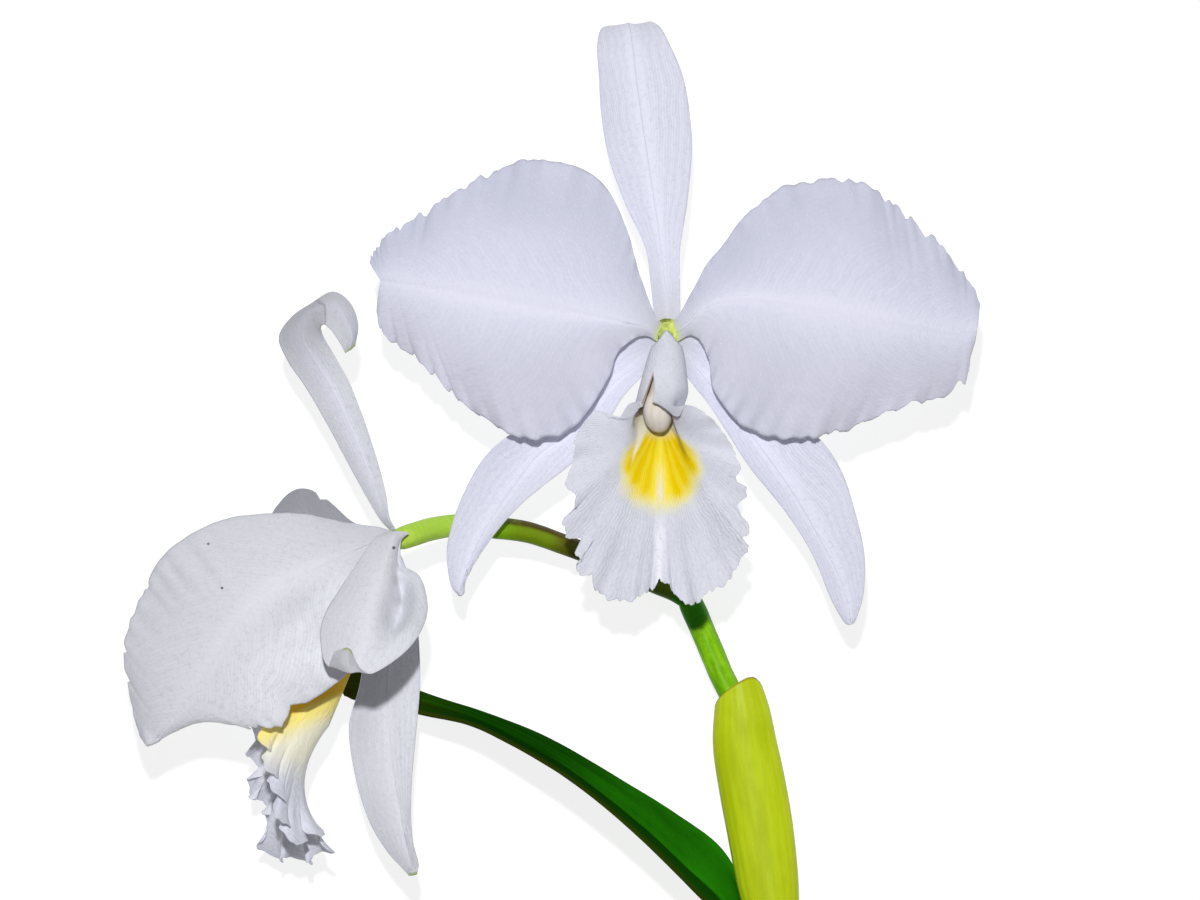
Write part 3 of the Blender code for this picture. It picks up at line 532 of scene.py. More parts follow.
def makeGreenFinish(name, look):
    look = SimpleNamespace(**look)
    material, shader = newFinish(name, look)
    along, across, side, place = sheetFields(material.node_tree)
    around = times(across, look.turn)
    streakPlace = addNode(place.id_data, "ShaderNodeCombineXYZ", enumerate((
        times(along, look.streakLong), times(mathNode("SINE", around), look.streaks),
        times(mathNode("COSINE", around), look.streaks))))
    streak = noiseAt(streakPlace.outputs[0], 1.0, 4.0, 0.6)
    mottle = noiseAt(place, look.mottleSize, 4.0, 0.6)
    colour = layered(look.dark, look, [
        (step(streak, 0.36, 0.68), "light"),
        (times(step(mottle, 0.45, 0.75), look.mottle), "spot"),
    ])
    fields = {"along": along, "across": across, "side": side, **dict(zip("XYZ", axes(place)))}
    for field, low, high, strength, tint in look.bands:
        blurred = timesPlus(minus(mottle, 0.5), abs(high - low) * 0.8, fields[field])
        colour = mix(times(step(blurred, low, high), strength), colour, tint)
    if look.olive:
        colour = addOliveAndShade(place, mottle, colour, look.olive)
    colour = addSpots(place, colour, look.spots)
    grain = noiseAt(place, 1800.0)
    closeFinish(shader, colour, look, [(streak, look.streakBump), (grain, 0.03)])
    return material


# petals and sepals; each station is left edge, midrib and right edge, x, y and z each
dorsalSepalA = [
    (28, 50.4, 46.7, 30.2, 50.7, 46.4, 32.3, 50.4, 46.7),
    (26.7, 54.5, 46.6, 30.2, 54.5, 46, 33.7, 54.5, 46.6),
    (25.9, 61.8, 45.2, 29.7, 61, 44.4, 33.7, 61.8, 45.2),
    (24.3, 72.4, 42.3, 28.6, 71.3, 41.2, 33.8, 71.8, 42.3),
    (19, 84.1, 38, 27.1, 82.9, 36.6, 35.7, 83.6, 38),
    (14.6, 96.8, 33, 25.2, 96.1, 31.4, 37.1, 98.7, 33),
    (12.5, 109.3, 28.2, 23.4, 108.6, 26.4, 36.4, 110.4, 28.2),
    (11.9, 119.4, 24.4, 22, 119.5, 22.6, 34.8, 119.7, 24.4),
    (11.4, 127.9, 20.6, 21, 128.7, 19, 31.8, 127.4, 21),
    (12.3, 133, 15.6, 20.2, 133.8, 14, 28.9, 132.8, 16.4),
    (14, 134.2, 9, 19.6, 134.8, 7.6, 25.4, 134.8, 10),
    (16.1, 133.6, 3.4, 19.1, 134.2, 2.6, 22.2, 132.7, 4.2),
    (17.2, 129.8, 0.4, 18.9, 130, 0.4, 20.6, 129.6, 0.4),
    (17.8, 126, 0.4, 18.9, 125.6, 0.4, 20, 126, 0.4),
]
leftPetalA = [
    (29, 51.4, 47.9, 28.4, 48.6, 48, 28, 46.1, 47.9),
    (27, 53.6, 49.2, 24.8, 50.1, 49.8, 24.8, 48, 49.2),
    (22.9, 64.3, 48.8, 18.9, 51.4, 51, 20.5, 46.9, 49.2),
    (19.4, 76.2, 47.6, 12.2, 52.5, 51.4, 16.8, 43.1, 48.8),
    (13.3, 88.9, 46, 4.2, 53.8, 51.4, 14.1, 36.2, 47.8),
    (3.1, 94.3, 44.8, -5.2, 55.4, 51, 9, 27.9, 46.8),
    (-8, 95.4, 44, -14.6, 57.3, 50.4, 1.5, 21.4, 46),
    (-18, 91.7, 43.4, -23.5, 59, 49.6, -8.8, 20.9, 45.4),
    (-27.7, 86.3, 42.8, -31.8, 60.6, 48.4, -20.1, 26.3, 45),
    (-36, 81, 42.4, -38.3, 61.7, 47, -29.2, 34.1, 44.4),
    (-43, 77.2, 42, -42.9, 62.6, 45.8, -37.9, 42.7, 43.6),
    (-48.2, 72.4, 42, -45.4, 62.9, 44.8, -45.7, 47.6, 42.8),
    (-49.8, 68, 42.4, -46.7, 62.9, 44.2, -47.9, 54.6, 42.4),
]
rightPetalA = [
    (31.4, 51.6, 47.9, 32, 48.6, 48, 32.5, 46.1, 47.9),
    (33.6, 54, 49.2, 35.5, 50.9, 49.8, 36.3, 48.2, 49.2),
    (36.9, 60, 48.8, 41.1, 56.2, 51, 39.6, 46.1, 49.2),
    (40.4, 66.3, 47.8, 48.3, 58.1, 51.6, 41.4, 41, 48.8),
    (45.5, 73, 46.8, 56.4, 58.1, 51.8, 42.8, 33.5, 47.8),
    (52, 81.1, 45.8, 64.9, 56.8, 51.4, 47.9, 26.3, 46.8),
    (61.2, 87.9, 44.8, 73.3, 55.4, 50.8, 56.8, 21.2, 46),
    (73, 90.1, 44, 81.3, 54.1, 50, 67.6, 20.6, 45.4),
    (84.9, 88.2, 43.4, 89.4, 52.5, 49, 78.4, 22.8, 45),
    (94.1, 81.5, 43, 97, 51, 47.8, 89.1, 27.4, 44.6),
    (102.7, 73.7, 42.8, 104.1, 49.6, 46.4, 99.4, 30.3, 44),
    (110.2, 64.8, 42.8, 109.8, 49.1, 45.2, 109.7, 34.6, 43.4),
    (114.5, 57, 43.2, 113.6, 49.9, 44.6, 112.6, 44.9, 43.4),
]
leftSepalA = [
    (27.8, 46.9, 46.7, 28.3, 46.1, 46.5, 29.1, 45.3, 46.7),
    (24.2, 48.6, 46.2, 26.4, 44.3, 45.4, 28.1, 42.7, 46),
    (16.4, 46.4, 44.4, 21.9, 40, 43, 24.4, 38.2, 44.4),
    (7, 38.6, 42.2, 13.6, 33, 40.4, 18.1, 31.4, 42.4),
    (-2.6, 27.7, 40, 4.6, 22.8, 38.2, 11.4, 20.1, 40.6),
    (-12.6, 21.2, 38.6, -4.6, 15.8, 36.8, 3.8, 13.1, 39.4),
    (-19.2, 15.2, 37.6, -11.1, 7.7, 35.8, -3.2, 7.7, 38.2),
    (-24, 7.1, 37, -16.5, -0.2, 35.2, -10, 2, 37.2),
    (-27.6, -1.8, 36.4, -21.1, -8.3, 35, -15.9, -4.8, 36.6),
    (-29.2, -10.5, 36, -23.8, -15.4, 35.2, -20.3, -11, 36.2),
    (-28.1, -18.9, 35.6, -25.7, -20.5, 35.4, -23.8, -17.2, 35.8),
    (-26, -22.1, 35.4, -25.2, -22.1, 35.3, -24.6, -21.3, 35.4),
]
rightSepalA = [
    (31.3, 45.3, 46.7, 32.1, 46.1, 46.5, 32.6, 46.9, 46.7),
    (32.6, 42.4, 46, 34.2, 44, 45.4, 36.8, 48.6, 46.2),
    (35.9, 36.8, 44.4, 38.6, 38.9, 43, 44, 46.6, 44.8),
    (41, 30.3, 42.8, 44.8, 31.4, 41.2, 53, 38.6, 43.4),
    (46.4, 22.3, 41.2, 51.9, 22.8, 39.6, 61.5, 28.7, 42),
    (52.4, 13.1, 39.8, 58.9, 13.6, 38.2, 71, 20.9, 40.6),
    (59.5, 4.4, 38.6, 65.5, 3.9, 37, 77.3, 12, 39.4),
    (65.7, -4.2, 37.6, 71.2, -5.9, 36.2, 81.1, 0.9, 38.2),
    (70.6, -12.9, 36.6, 76.1, -15.1, 35.6, 83.6, -10.5, 37),
    (74.4, -22.1, 35.8, 79.1, -23.2, 35.2, 83.6, -20.5, 36),
    (77.4, -27.8, 35.4, 79.9, -28.1, 35, 82.3, -26.5, 35.4),
    (78.8, -29.7, 35.2, 79.9, -30, 35.1, 81, -29.4, 35.2),
]
dorsalSepalB = [
    (-44.6, -4.2, 36.6, -43.7, -4.4, 38, -42.9, -4.2, 39.4),
    (-47.2, -1.2, 38.6, -45.8, -1, 39.6, -44.7, -0.7, 40.6),
    (-50.4, 3.9, 39, -47.7, 4.7, 40.2, -45.5, 5, 41.2),
    (-55.9, 13.6, 38.4, -51.2, 14.7, 40.2, -47.4, 13.1, 41.6),
    (-61.6, 24.4, 37.6, -56.1, 26, 39.8, -50.9, 24.4, 41.6),
    (-67.3, 34.4, 37, -60.9, 35.8, 39.6, -55.2, 35.2, 41.6),
    (-71.9, 41.2, 37, -65.5, 42.8, 39.6, -59.5, 42.7, 41.8),
    (-74.6, 47.7, 37.6, -68.2, 48.7, 40.4, -62.4, 47.6, 42.6),
    (-71.5, 53, 39.4, -66.2, 53.5, 42.4, -62.9, 50.2, 44.6),
    (-65.7, 57, 41.8, -62.6, 55.9, 44.8, -61.7, 51, 46.8),
    (-59.7, 59.9, 44, -58.7, 56.1, 46.8, -60, 49.6, 48.2),
    (-55, 56.9, 45.6, -56, 52.8, 47.8, -58.3, 47.4, 48.8),
    (-52.8, 51, 46.6, -54.4, 48.3, 48, -57, 45.3, 48.8),
    (-53.6, 45.3, 47.2, -54.9, 44.2, 47.8, -56.2, 43.4, 48.2),
]
farPetalB = [
    (-43.3, -5.3, 35.4, -43.3, -6.7, 35.1, -43, -8.3, 35.3),
    (-48, -4.4, 34, -48.1, -6.8, 31.6, -47.5, -10.6, 31.4),
    (-55.3, -2.3, 31.6, -55.9, -7.4, 26, -55.4, -17.5, 25.6),
    (-61.6, 4, 28, -63.9, -8.6, 19, -63.4, -24.8, 18.6),
    (-67.4, 6.7, 23, -71.4, -10.4, 12.2, -70.3, -30.5, 12),
    (-72.8, 5.8, 17, -77.8, -12.7, 6.4, -76.7, -34.2, 6.4),
    (-76.6, 1.7, 11, -83, -15.5, 2.4, -82.5, -35.2, 2.6),
    (-80.3, -3.4, 2.4, -87.6, -18.6, 0.6, -87, -33.6, 0.6),
    (-84.8, -8.9, 0.8, -90.9, -22, 0.4, -90.4, -30.3, 0.4),
    (-88.7, -15.3, 0.4, -92.6, -24.2, 0.4, -92, -27.5, 0.4),
]
nearPetalB = [
    (-43.1, -5.3, 40.3, -43.1, -6.9, 40.4, -42.8, -8.2, 40.3),
    (-46.5, -3.6, 42.6, -46.9, -6.8, 43.7, -45.6, -9.2, 43.7),
    (-56.3, -1.9, 45.8, -53.7, -9.7, 49, -49.9, -15.3, 50),
    (-67.5, 0, 47.6, -62.1, -13.1, 54, -52.4, -24.3, 55.4),
    (-78.5, 0.2, 48.2, -70, -16.5, 56.4, -53.4, -33.3, 57.4),
    (-88.7, -1.1, 48.4, -76.6, -20.5, 57.4, -53.9, -40.7, 58.2),
    (-98.6, -5.9, 48.2, -82.4, -25.8, 57.6, -59.2, -45.6, 58.2),
    (-106.2, -12.4, 47.8, -87.5, -32.7, 57, -67.3, -50.9, 57.2),
    (-110.8, -21.3, 47.2, -92.7, -40.8, 56, -74.3, -56.4, 55.6),
    (-114.3, -30.4, 46.8, -97.9, -48.9, 54.2, -82.4, -56.6, 53.8),
    (-115.7, -39.6, 46.4, -102.6, -55.4, 51.8, -93.3, -55.4, 51.2),
    (-113.8, -50.6, 46.2, -106.6, -59.8, 49, -102.1, -58.2, 48.8),
    (-111.4, -59.4, 46.4, -109.2, -61.8, 47.4, -106.5, -61, 47.6),
]
nearSepalB = [
    (-46.2, -5.2, 43.5, -42.8, -4.6, 44.6, -39.2, -4.9, 43.4),
    (-48.2, -6.4, 47.5, -43.8, -7.6, 48.4, -41.2, -7.1, 45),
    (-52.5, -12.6, 52.5, -45.5, -13.6, 54.6, -40.1, -12.9, 48.5),
    (-56.6, -18.9, 57, -47.2, -19.3, 60, -35.9, -16.6, 53),
    (-60.1, -24.6, 61, -48.5, -25, 65, -33.9, -22.3, 58),
    (-61.9, -29.8, 64, -49.4, -30.2, 68.6, -34, -27.3, 62),
    (-61.7, -34.2, 67, -50.4, -34.9, 71.6, -36.6, -32.9, 66.5),
    (-61, -37.6, 70.2, -51.3, -38.5, 74, -41.1, -37.5, 71.2),
    (-59.5, -39.6, 73.2, -53.1, -40.8, 76, -47.3, -41.3, 75),
    (-58.6, -37.9, 75.8, -53.5, -39.1, 77, -50.1, -40.7, 76.8),
    (-57.5, -35.7, 76.8, -54, -36.5, 77.4, -51.7, -38.9, 77.3),
    (-54.8, -34.7, 77.2, -54, -34.6, 77.5, -53.2, -35.4, 77.5),
]
farSepalB = [
    (-45, -10, 36, -44.1, -10.3, 36.2, -43.2, -10.2, 36.6),
    (-46.3, -13, 30.6, -44.2, -13.3, 29.6, -41.4, -12.5, 31),
    (-49.3, -22.8, 28.6, -43.3, -24, 27, -38.1, -23.4, 29.6),
    (-51.3, -34.8, 28.6, -45, -36.5, 26.6, -37, -34.8, 29.6),
    (-53.1, -46.5, 29.2, -45.8, -49, 26.8, -36.7, -45.6, 29.8),
    (-56, -58.1, 30.2, -45.2, -60.7, 27.4, -37.5, -56.5, 30.4),
    (-54.3, -70.5, 31.8, -43.8, -71.8, 28.8, -38.6, -68.1, 31.4),
    (-50.7, -82.3, 33.6, -41.6, -82.5, 31.2, -39.1, -79.7, 32.6),
    (-45.7, -90.9, 35.4, -39.8, -90.5, 33.6, -38.5, -88.8, 34.4),
    (-41.3, -95.6, 37, -38.7, -95.2, 36, -37, -94.1, 36.4),
    (-39.4, -97.5, 37.8, -38.4, -97.5, 37.4, -37.3, -97.2, 37.6),
]
leafBlade = [
    (54.2, -120.6, 5.4, 52.8, -120.9, 10, 53.9, -119.9, 14.6),
    (53.1, -113.9, 4.4, 49.3, -114.1, 12, 49.9, -114.1, 21),
    (51.2, -103.2, 3.2, 45.1, -105.9, 18, 40.9, -105, 35),
    (44.9, -92.3, 1.8, 36.2, -97.9, 22, 32.9, -96.2, 43),
    (33, -83.2, 1.2, 25.3, -87.6, 24, 22.9, -86.6, 46),
    (20.5, -75.4, 1, 13.3, -77.8, 24, 11.7, -77.2, 46.5),
    (8, -68.2, 1, 2.4, -69.6, 24, 0.1, -68.9, 45),
    (-4.4, -61.8, 1.2, -8.8, -63.2, 22.5, -11.3, -62.2, 41),
    (-18.3, -56.3, 1.6, -20.6, -57.3, 19, -23, -56.8, 34.5),
    (-32.1, -51.5, 2.4, -33.4, -52.9, 15, -35.4, -54.5, 27),
    (-44.5, -46.6, 3.6, -45.6, -50, 11.5, -46.7, -52.4, 19),
    (-53.8, -43.4, 5.4, -55.2, -48, 9.4, -55.1, -51.3, 13),
    (-58.3, -45.8, 7.4, -58.9, -48, 8.3, -57.9, -50.4, 9.5),
]

# what the blades' settings say:
# belly is the bow of each half, wave, tooth and frill are heights in mm with waves, teeth and frills a side,
# nick is the raggedness past nickFrom; a notch is (at, depth, width) for the left, then the right edge,
# a dent (at, side, depth, length, width) and a pleat (at, side, height, length, width, count)
bladeLook = dict(
    grid=(110, 40), belly=-0.03, wave=0.5, waves=2.5, phase=0.4, tooth=0.0, teeth=8.0, frill=0.0,
    frills=20.0, nick=0.0, nickCount=64.0, nickFrom=0.35, seed=1.0, notches=((), ()), dents=(), pleats=(),
    wall=0.55, thinEdge=0.75, lowest=0.56, handPhases=(0.0, 1.9), flatBase=0.25, flatTip=0.12)
petalLook = dict(bladeLook, grid=(170, 84), belly=0.05, wave=1.1, waves=5.0, tooth=0.15, frill=0.5, nick=1.3)
leftPetalLook = dict(petalLook, seed=4.0, notches=(
    ((0.585, 1.0, 0.014), (0.63, 1.6, 0.014), (0.735, 1.6, 0.016), (0.81, 1.8, 0.018), (0.9, 1.2, 0.014)),
    ((0.655, 1.4, 0.014), (0.73, 1.4, 0.012), (0.77, 1.8, 0.016), (0.83, 1.2, 0.014), (0.93, 1.4, 0.02))))
rightPetalLook = dict(petalLook, seed=5.0, notches=(
    ((0.7, 1.0, 0.012), (0.755, 2.0, 0.014), (0.8, 1.8, 0.016), (0.86, 1.0, 0.012), (0.9, 2.0, 0.018)),
    ((0.62, 1.0, 0.012), (0.7, 1.4, 0.016), (0.8, 1.8, 0.016), (0.91, 2.0, 0.018), (0.965, 1.8, 0.02))))
nearPetalLook = dict(
    petalLook, wave=0.7, waves=4.0, phase=1.1, tooth=0.0, frill=0.2, nick=0.7, nickFrom=0.5,
    nickCount=50.0, seed=9.0, notches=(
        ((0.645, 1.2, 0.012), (0.8, 1.4, 0.012), (0.865, 1.6, 0.012)),
        ((0.6, 2.2, 0.03), (0.7, 1.8, 0.015), (0.735, 1.0, 0.01), (0.757, -2.6, 0.014), (0.655, -1.0, 0.01))),
    dents=((0.42, 0.4, 4.2, 0.12, 0.22), (0.97, 0.2, -1.5, 0.03, 0.5), (0.3, -0.5, 0.8, 0.12, 0.3)),
    pleats=((0.5, -0.72, 0.45, 0.05, 0.28, 17.0), (0.58, -0.8, 0.25, 0.06, 0.25, 24.0)))
farPetalLook = dict(petalLook, wave=0.8, waves=3.0, phase=1.1, tooth=0.0, nick=0.0, frill=0.0, seed=10.0,
                    notches=(((0.365, 1.3, 0.03),), ()))
hookLook = dict(bladeLook, grid=(140, 40), wave=0.4, phase=1.1, seed=6.0)
nearSepalLook = dict(bladeLook, grid=(140, 60), belly=0.05, wave=0.0, seed=7.0, dents=(
    (0.15, 0.85, 2.6, 0.07, 0.18), (0.27, 0.62, 4.2, 0.09, 0.18), (0.38, 0.45, 6.6, 0.12, 0.24),
    (0.82, -0.3, 1.6, 0.08, 0.4)))
farSepalLook = dict(bladeLook, wave=0.4, phase=1.1, seed=8.0)
sepalRelief = dict(plainRelief, midribDepth=0.2, midribWidth=0.04, ribCount=11.0, ribDepth=0.015,
                   rippleHeight=0.5)
petalRelief = dict(plainRelief, veinCount=20.0, veinSlant=0.34, veinDepth=0.015, midribDepth=0.25,
                   midribWidth=0.03, rippleHeight=1.0, rippleSize=110.0)


def margins(look, stationEdge, middle, hand, u, fade):
    # the edge point of one hand with its teeth, nicks and notches
    phase = look.phase + look.handPhases[hand]
    edge = between(stationEdge, u)
    outward = (edge - middle).normalized()
    tooth = look.tooth * fade * sin(fullTurn * look.teeth * u + 2.0 * phase)
    ragged = roughNoise(u * look.nickCount, 3.0 * hand, look.seed)
    nick = look.nick * ease(look.nickFrom, look.nickFrom + 0.25, u) * ragged
    for at, depth, width in look.notches[hand]:
        nick -= depth * max(0.0, 1.0 - abs(u - at) / width)
    edge += outward * (tooth + nick * min(1.0, (1.0 - u) / 0.03))
    return edge, (edge - middle).length, phase


def makeBlade(name, stations, look, relief, paint):
    # every row of the sheet runs from one edge over the midrib to the other edge
    look = SimpleNamespace(**look)
    left, rib, right = ([station[k:k + 3] for station in stations] for k in (0, 3, 6))
    rows, columns = look.grid
    centreCross = (between(right, 0.5) - between(left, 0.5)).cross(between(rib, 0.52) - between(rib, 0.48))
    upward = 1.0 if centreCross.z > 0.0 else -1.0
    grid = []
    for i in range(rows + 1):
        u = i / rows
        middle = between(rib, u)
        ahead = between(rib, u + 0.02) - between(rib, u - 0.02)
        normal = (between(right, u) - between(left, u)).cross(ahead).normalized() * upward
        fade = min(1.0, u / look.flatBase) * min(1.0, (1.0 - u) / look.flatTip)
        edges = [margins(look, edge, middle, hand, u, fade) for hand, edge in enumerate((left, right))]
        row = []
        for j in range(columns + 1):
            side = 2.0 * j / columns - 1.0
            reach = abs(side)
            edge, spread, phase = edges[0 if side < 0 else 1]
            lift = look.belly * spread * 4.0 * reach * (1.0 - reach)
            lift += look.wave * fade * reach ** 3 * sin(fullTurn * look.waves * u + phase)
            lift += look.frill * fade * reach ** 7 * sin(
                fullTurn * look.frills * u + 3.0 * phase + 2.5 * roughNoise(u * 5.0, side, look.seed))
            for at, hand, depth, length, width in look.dents:
                lift -= depth * hump(u, at, length) * hump(side, hand, width)
            for at, hand, height, length, width, count in look.pleats:
                lift += height * sin(fullTurn * count * u) * hump(u, at, length) * hump(side, hand, width)
            spot = middle.lerp(edge, reach) + normal * lift
            spot.z = max(spot.z, look.lowest)
            row.append(spot)
        grid.append(row)
    obj = sheetMesh(name, grid, thin=lambda u, v: 1.0 - look.thinEdge * abs(2.0 * v - 1.0) ** 3)
    useTree(obj, reliefTree, relief, paint)
    addWall(obj, look.wall)
    return settle(obj)


def standIn(piece, node):
    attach(piece, "root")
    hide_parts(node)


petalPaint, sepalPaint, sidePetalPaint, sideSepalPaint, nearSepalPaint, hookPaint, farPetalShadedPaint = (
    makeTepalFinish(name, finish) for name, finish in (
        ("petalWhite", petalFinish), ("sepalWhite", sepalFinish), ("sidePetalWhite", sidePetalFinish),
        ("sideSepalGreenTip", sideSepalFinish), ("nearSepalGreenTip", nearSepalFinish),
        ("hookedSepal", hookFinish), ("farPetalPaintedShade", farPetalShadedFinish)))
blades = [
    # node, stations, look, relief, finish
    ("dorsal_sepal_a", dorsalSepalA, dict(bladeLook, grid=(140, 40)), sepalRelief, sepalPaint),
    ("left_sepal_a", leftSepalA, dict(bladeLook, seed=2.0), sepalRelief, sepalPaint),
    ("right_sepal_a", rightSepalA, dict(bladeLook, seed=3.0), sepalRelief, sepalPaint),
    ("left_petal_a", leftPetalA, leftPetalLook, dict(petalRelief, seed=4.0), petalPaint),
    ("right_petal_a", rightPetalA, rightPetalLook, dict(petalRelief, seed=5.0), petalPaint),
    ("dorsal_sepal_b", dorsalSepalB, hookLook, dict(sepalRelief, midribDepth=0.05), hookPaint),
    ("near_sepal_b", nearSepalB, nearSepalLook, dict(sepalRelief, midribDepth=0.0), nearSepalPaint),
    ("far_sepal_b", farSepalB, farSepalLook, dict(sepalRelief, ribDepth=0.05), sideSepalPaint),
    ("near_petal_b", nearPetalB, nearPetalLook, dict(petalRelief, seed=9.0), sidePetalPaint),
    ("far_petal_b", farPetalB, farPetalLook, dict(petalRelief, seed=10.0), farPetalShadedPaint),
]
for node, stations, look, relief, paint in blades:
    standIn(makeBlade(node + "_fine", stations, look, relief, paint), node)
print("petals and sepals built")


# lips
lipMarginA = [
    (-6, -14.6, 16), (-9, -15.4, 12.6), (-11.6, -18.9, 10.4), (-14.4, -18.9, 9.4),
    (-18.4, -16.9, 8.6), (-23.2, -26.4, 6.8), (-25.6, -36.5, 5.8), (-26.2, -47.7, 4.8),
    (-22.7, -58.5, 2.8), (-17.3, -66, 0.8), (-9.8, -69, -0.7), (-3.9, -66.4, -1.7),
    (-0.7, -63.7, -2), (2.5, -66.1, -1.7), (9.2, -69.8, -0.7), (16.2, -64.7, 0.8),
    (21.2, -57.1, 2.8), (22.8, -47.2, 4.8), (21.7, -36.5, 5.8), (18.7, -28, 6.8),
    (13.8, -20, 9.6), (6.8, -15.7, 12.6), (3.9, -18.7, 16.4), (1.3, -17.2, 18),
    (-1.5, -15, 17.8),
]
# toothed front of the margin: share of the way round, then x, y and z
lipTeethA = [
    (0.126, -14.4, -18.9, 9.4), (0.164, -18.2, -16.9, 8.7), (0.175, -19.9, -18.7, 8.2),
    (0.190, -22.2, -21.9, 7.6), (0.206, -23.5, -25.7, 6.9), (0.225, -23.7, -30.5, 6.4),
    (0.249, -25.9, -36.1, 5.8), (0.262, -23.7, -39.9, 5.5), (0.274, -23.2, -43.1, 5.2),
    (0.285, -26.7, -46, 5), (0.303, -25.9, -50.9, 4.3), (0.310, -21.6, -51.4, 3.9),
    (0.319, -23.2, -54.6, 3.5), (0.330, -21.3, -57, 3), (0.334, -23.2, -58.1, 2.9),
    (0.343, -21.9, -60.5, 2.3), (0.350, -19.7, -61.1, 2), (0.365, -18.4, -64, 1.3),
    (0.390, -14.9, -67.8, 0.3), (0.402, -12.2, -67.6, -0.2), (0.427, -8.2, -68.4, -1),
    (0.446, -6.1, -66.2, -1.4), (0.477, -2.8, -64.6, -1.8), (0.500, -0.7, -62.5, -2),
    (0.525, 2, -64.1, -1.8), (0.545, 3.1, -66.3, -1.6), (0.560, 5.5, -67.9, -1.3),
    (0.585, 9.2, -69.2, -0.6), (0.595, 10.8, -67.8, -0.3), (0.607, 12.4, -65.9, 0.1),
    (0.630, 16.2, -63.5, 1), (0.640, 18, -61.9, 1.5), (0.654, 19.9, -59.5, 2.2),
    (0.667, 20.7, -56.8, 2.8), (0.675, 22.5, -55.2, 3.2), (0.685, 23.1, -53, 3.7),
    (0.689, 20.1, -52.5, 3.7), (0.700, 22.8, -49.3, 4.4), (0.708, 23, -47.4, 4.8),
    (0.717, 20.6, -45.2, 5), (0.730, 19.8, -42, 5.3), (0.735, 22.7, -40.4, 5.4),
    (0.745, 22.5, -37.7, 5.7), (0.755, 19.2, -36.1, 5.9), (0.763, 19.5, -34.3, 6.1),
    (0.767, 21.1, -32.7, 6.2), (0.786, 19.5, -28.9, 6.7), (0.812, 17, -23.6, 8.9),
    (0.833, 13.8, -20, 9.6),
]
lipMarginB = [
    (-7, -41.8, 13.8), (-10, -51.9, 16.3), (-13, -60.2, 14.7), (-14, -66.3, 12.7),
    (-15, -69.8, 9), (-15, -75.8, 9.7), (-16, -76.3, 5.1), (-16, -78.4, 1.8),
    (-17, -83.9, 2), (-17, -89.2, -2.3), (-14, -87.2, -8), (-11, -86, -12.9),
    (-6, -81.2, -16.2), (-1, -76.9, -14.4), (5, -76.5, -11.4), (8, -80.4, -8.8),
    (11, -78.6, -4.1), (13, -74.5, -1.1), (13, -70.7, 1.4), (13, -67, 4.5),
    (14, -62.9, 7.4), (14, -58.9, 10.2), (13, -54.1, 12.6), (11, -47.7, 12.5),
    (8, -39.8, 12.8),
]

# what the lips' settings say: foot, across and up place the lip's own axes; tube, slant, radius, keel and
# drift give the rolled tube, wrap, twist and overlap (in degrees) how far it closes, hood and sink its
# pointed roof, lean the fold of its right wall; reach, fall, waist and full shape the rays, and the rest
# the frilled margin
lipLook = dict(
    frills=31.0, pleats=8.0, ridge=0.5, ridgeWidth=0.035, wall=0.5, thinEdge=0.5, lowest=0.35,
    lapHeight=0.7, leanAt=(1.75, 0.75), tubeShare=0.4)  # share of the rows that roll round the column
lipA = dict(
    lipLook, grid=(84, 420), foot=(29.0, 45.0, 49.3), across=(1, 0, 0), up=(0, 0, 1), tube=14.6, slant=9.3,
    radius=(3.8, 7.6), keel=(0.0, 2.6), drift=(1.0, -0.5), reach=14.0, wrap=168.0, twist=30.0,
    overlap=26.0, hood=4.4, sink=3.4, waist=0.0, fall=0.6, lean=4.2, ruffleFrom=3, full=14.0,
    margin=lipMarginA, teeth=lipTeethA, wave=0.8, waves=12.0, phase=0.3, tooth=0.0, nick=1.1,
    nickCount=110.0, pleat=0.1, frill=0.35, curl=0.0, seed=21.0)
lipB = dict(
    lipLook, grid=(90, 380), foot=(-45.7, -10.6, 37.0), across=(0, 0, 1), up=(-0.92, 0.39, 0), tube=37.0,
    slant=12.0, radius=(3.4, 7.4), keel=(-3.4, -3.8), drift=(0.0, 0.0), reach=20.0, wrap=155.0,
    twist=0.0, overlap=0.0, hood=0.0, sink=0.0, waist=5.9, fall=0.0, lean=0.0, ruffleFrom=10, full=24.0,
    margin=lipMarginB, teeth=(), wave=2.0, waves=17.0, phase=0.9, tooth=0.4, nick=1.1, nickCount=64.0,
    pleat=0.0, frill=0.6, curl=2.6, seed=33.0)


def toothedMargin(look, v):
    teeth = look.teeth
    if teeth and teeth[0][0] <= v <= teeth[-1][0]:
        for low, high in zip(teeth, teeth[1:]):
            if v <= high[0]:
                return Vector(low[1:]).lerp(Vector(high[1:]), (v - low[0]) / (high[0] - low[0]))
    return between(look.margin, v)


def tubeAt(look, part):
    # sideways shift, height and radius of the tube, part way along it
    ends = (look.drift, part), (look.keel, part), (look.radius, part ** 0.8)
    return [low + (high - low) * share for (low, high), share in ends]


def ringPoint(look, part, side):
    # the right lobe laps over the left one until the slit opens
    drift, keel, radius = tubeAt(look, part)
    lap = ease(0.3, 1.0, side) * (1.0 - ease(0.35, 0.95, part))
    angle = radians(look.wrap) * side + radians(look.twist) * part * side * side
    angle += radians(look.overlap) * lap
    radius += look.lapHeight * lap
    along = look.tube * part + look.slant * part * (1.0 + cos(angle)) / 2.0
    spot = Vector((drift + radius * sin(angle), -along, keel + radius * (1.0 - cos(angle))))
    # the closed top of the tube reaches back over the column's foot to a point
    roof = max(0.0, -cos(angle)) * (1.0 - abs(sin(angle))) * (1.0 - part) ** 3
    spot.x -= look.lean * ease(0.6, 1.0, part) * hump(angle, *look.leanAt)
    spot.y += look.hood * roof
    spot.z -= look.sink * roof
    return spot


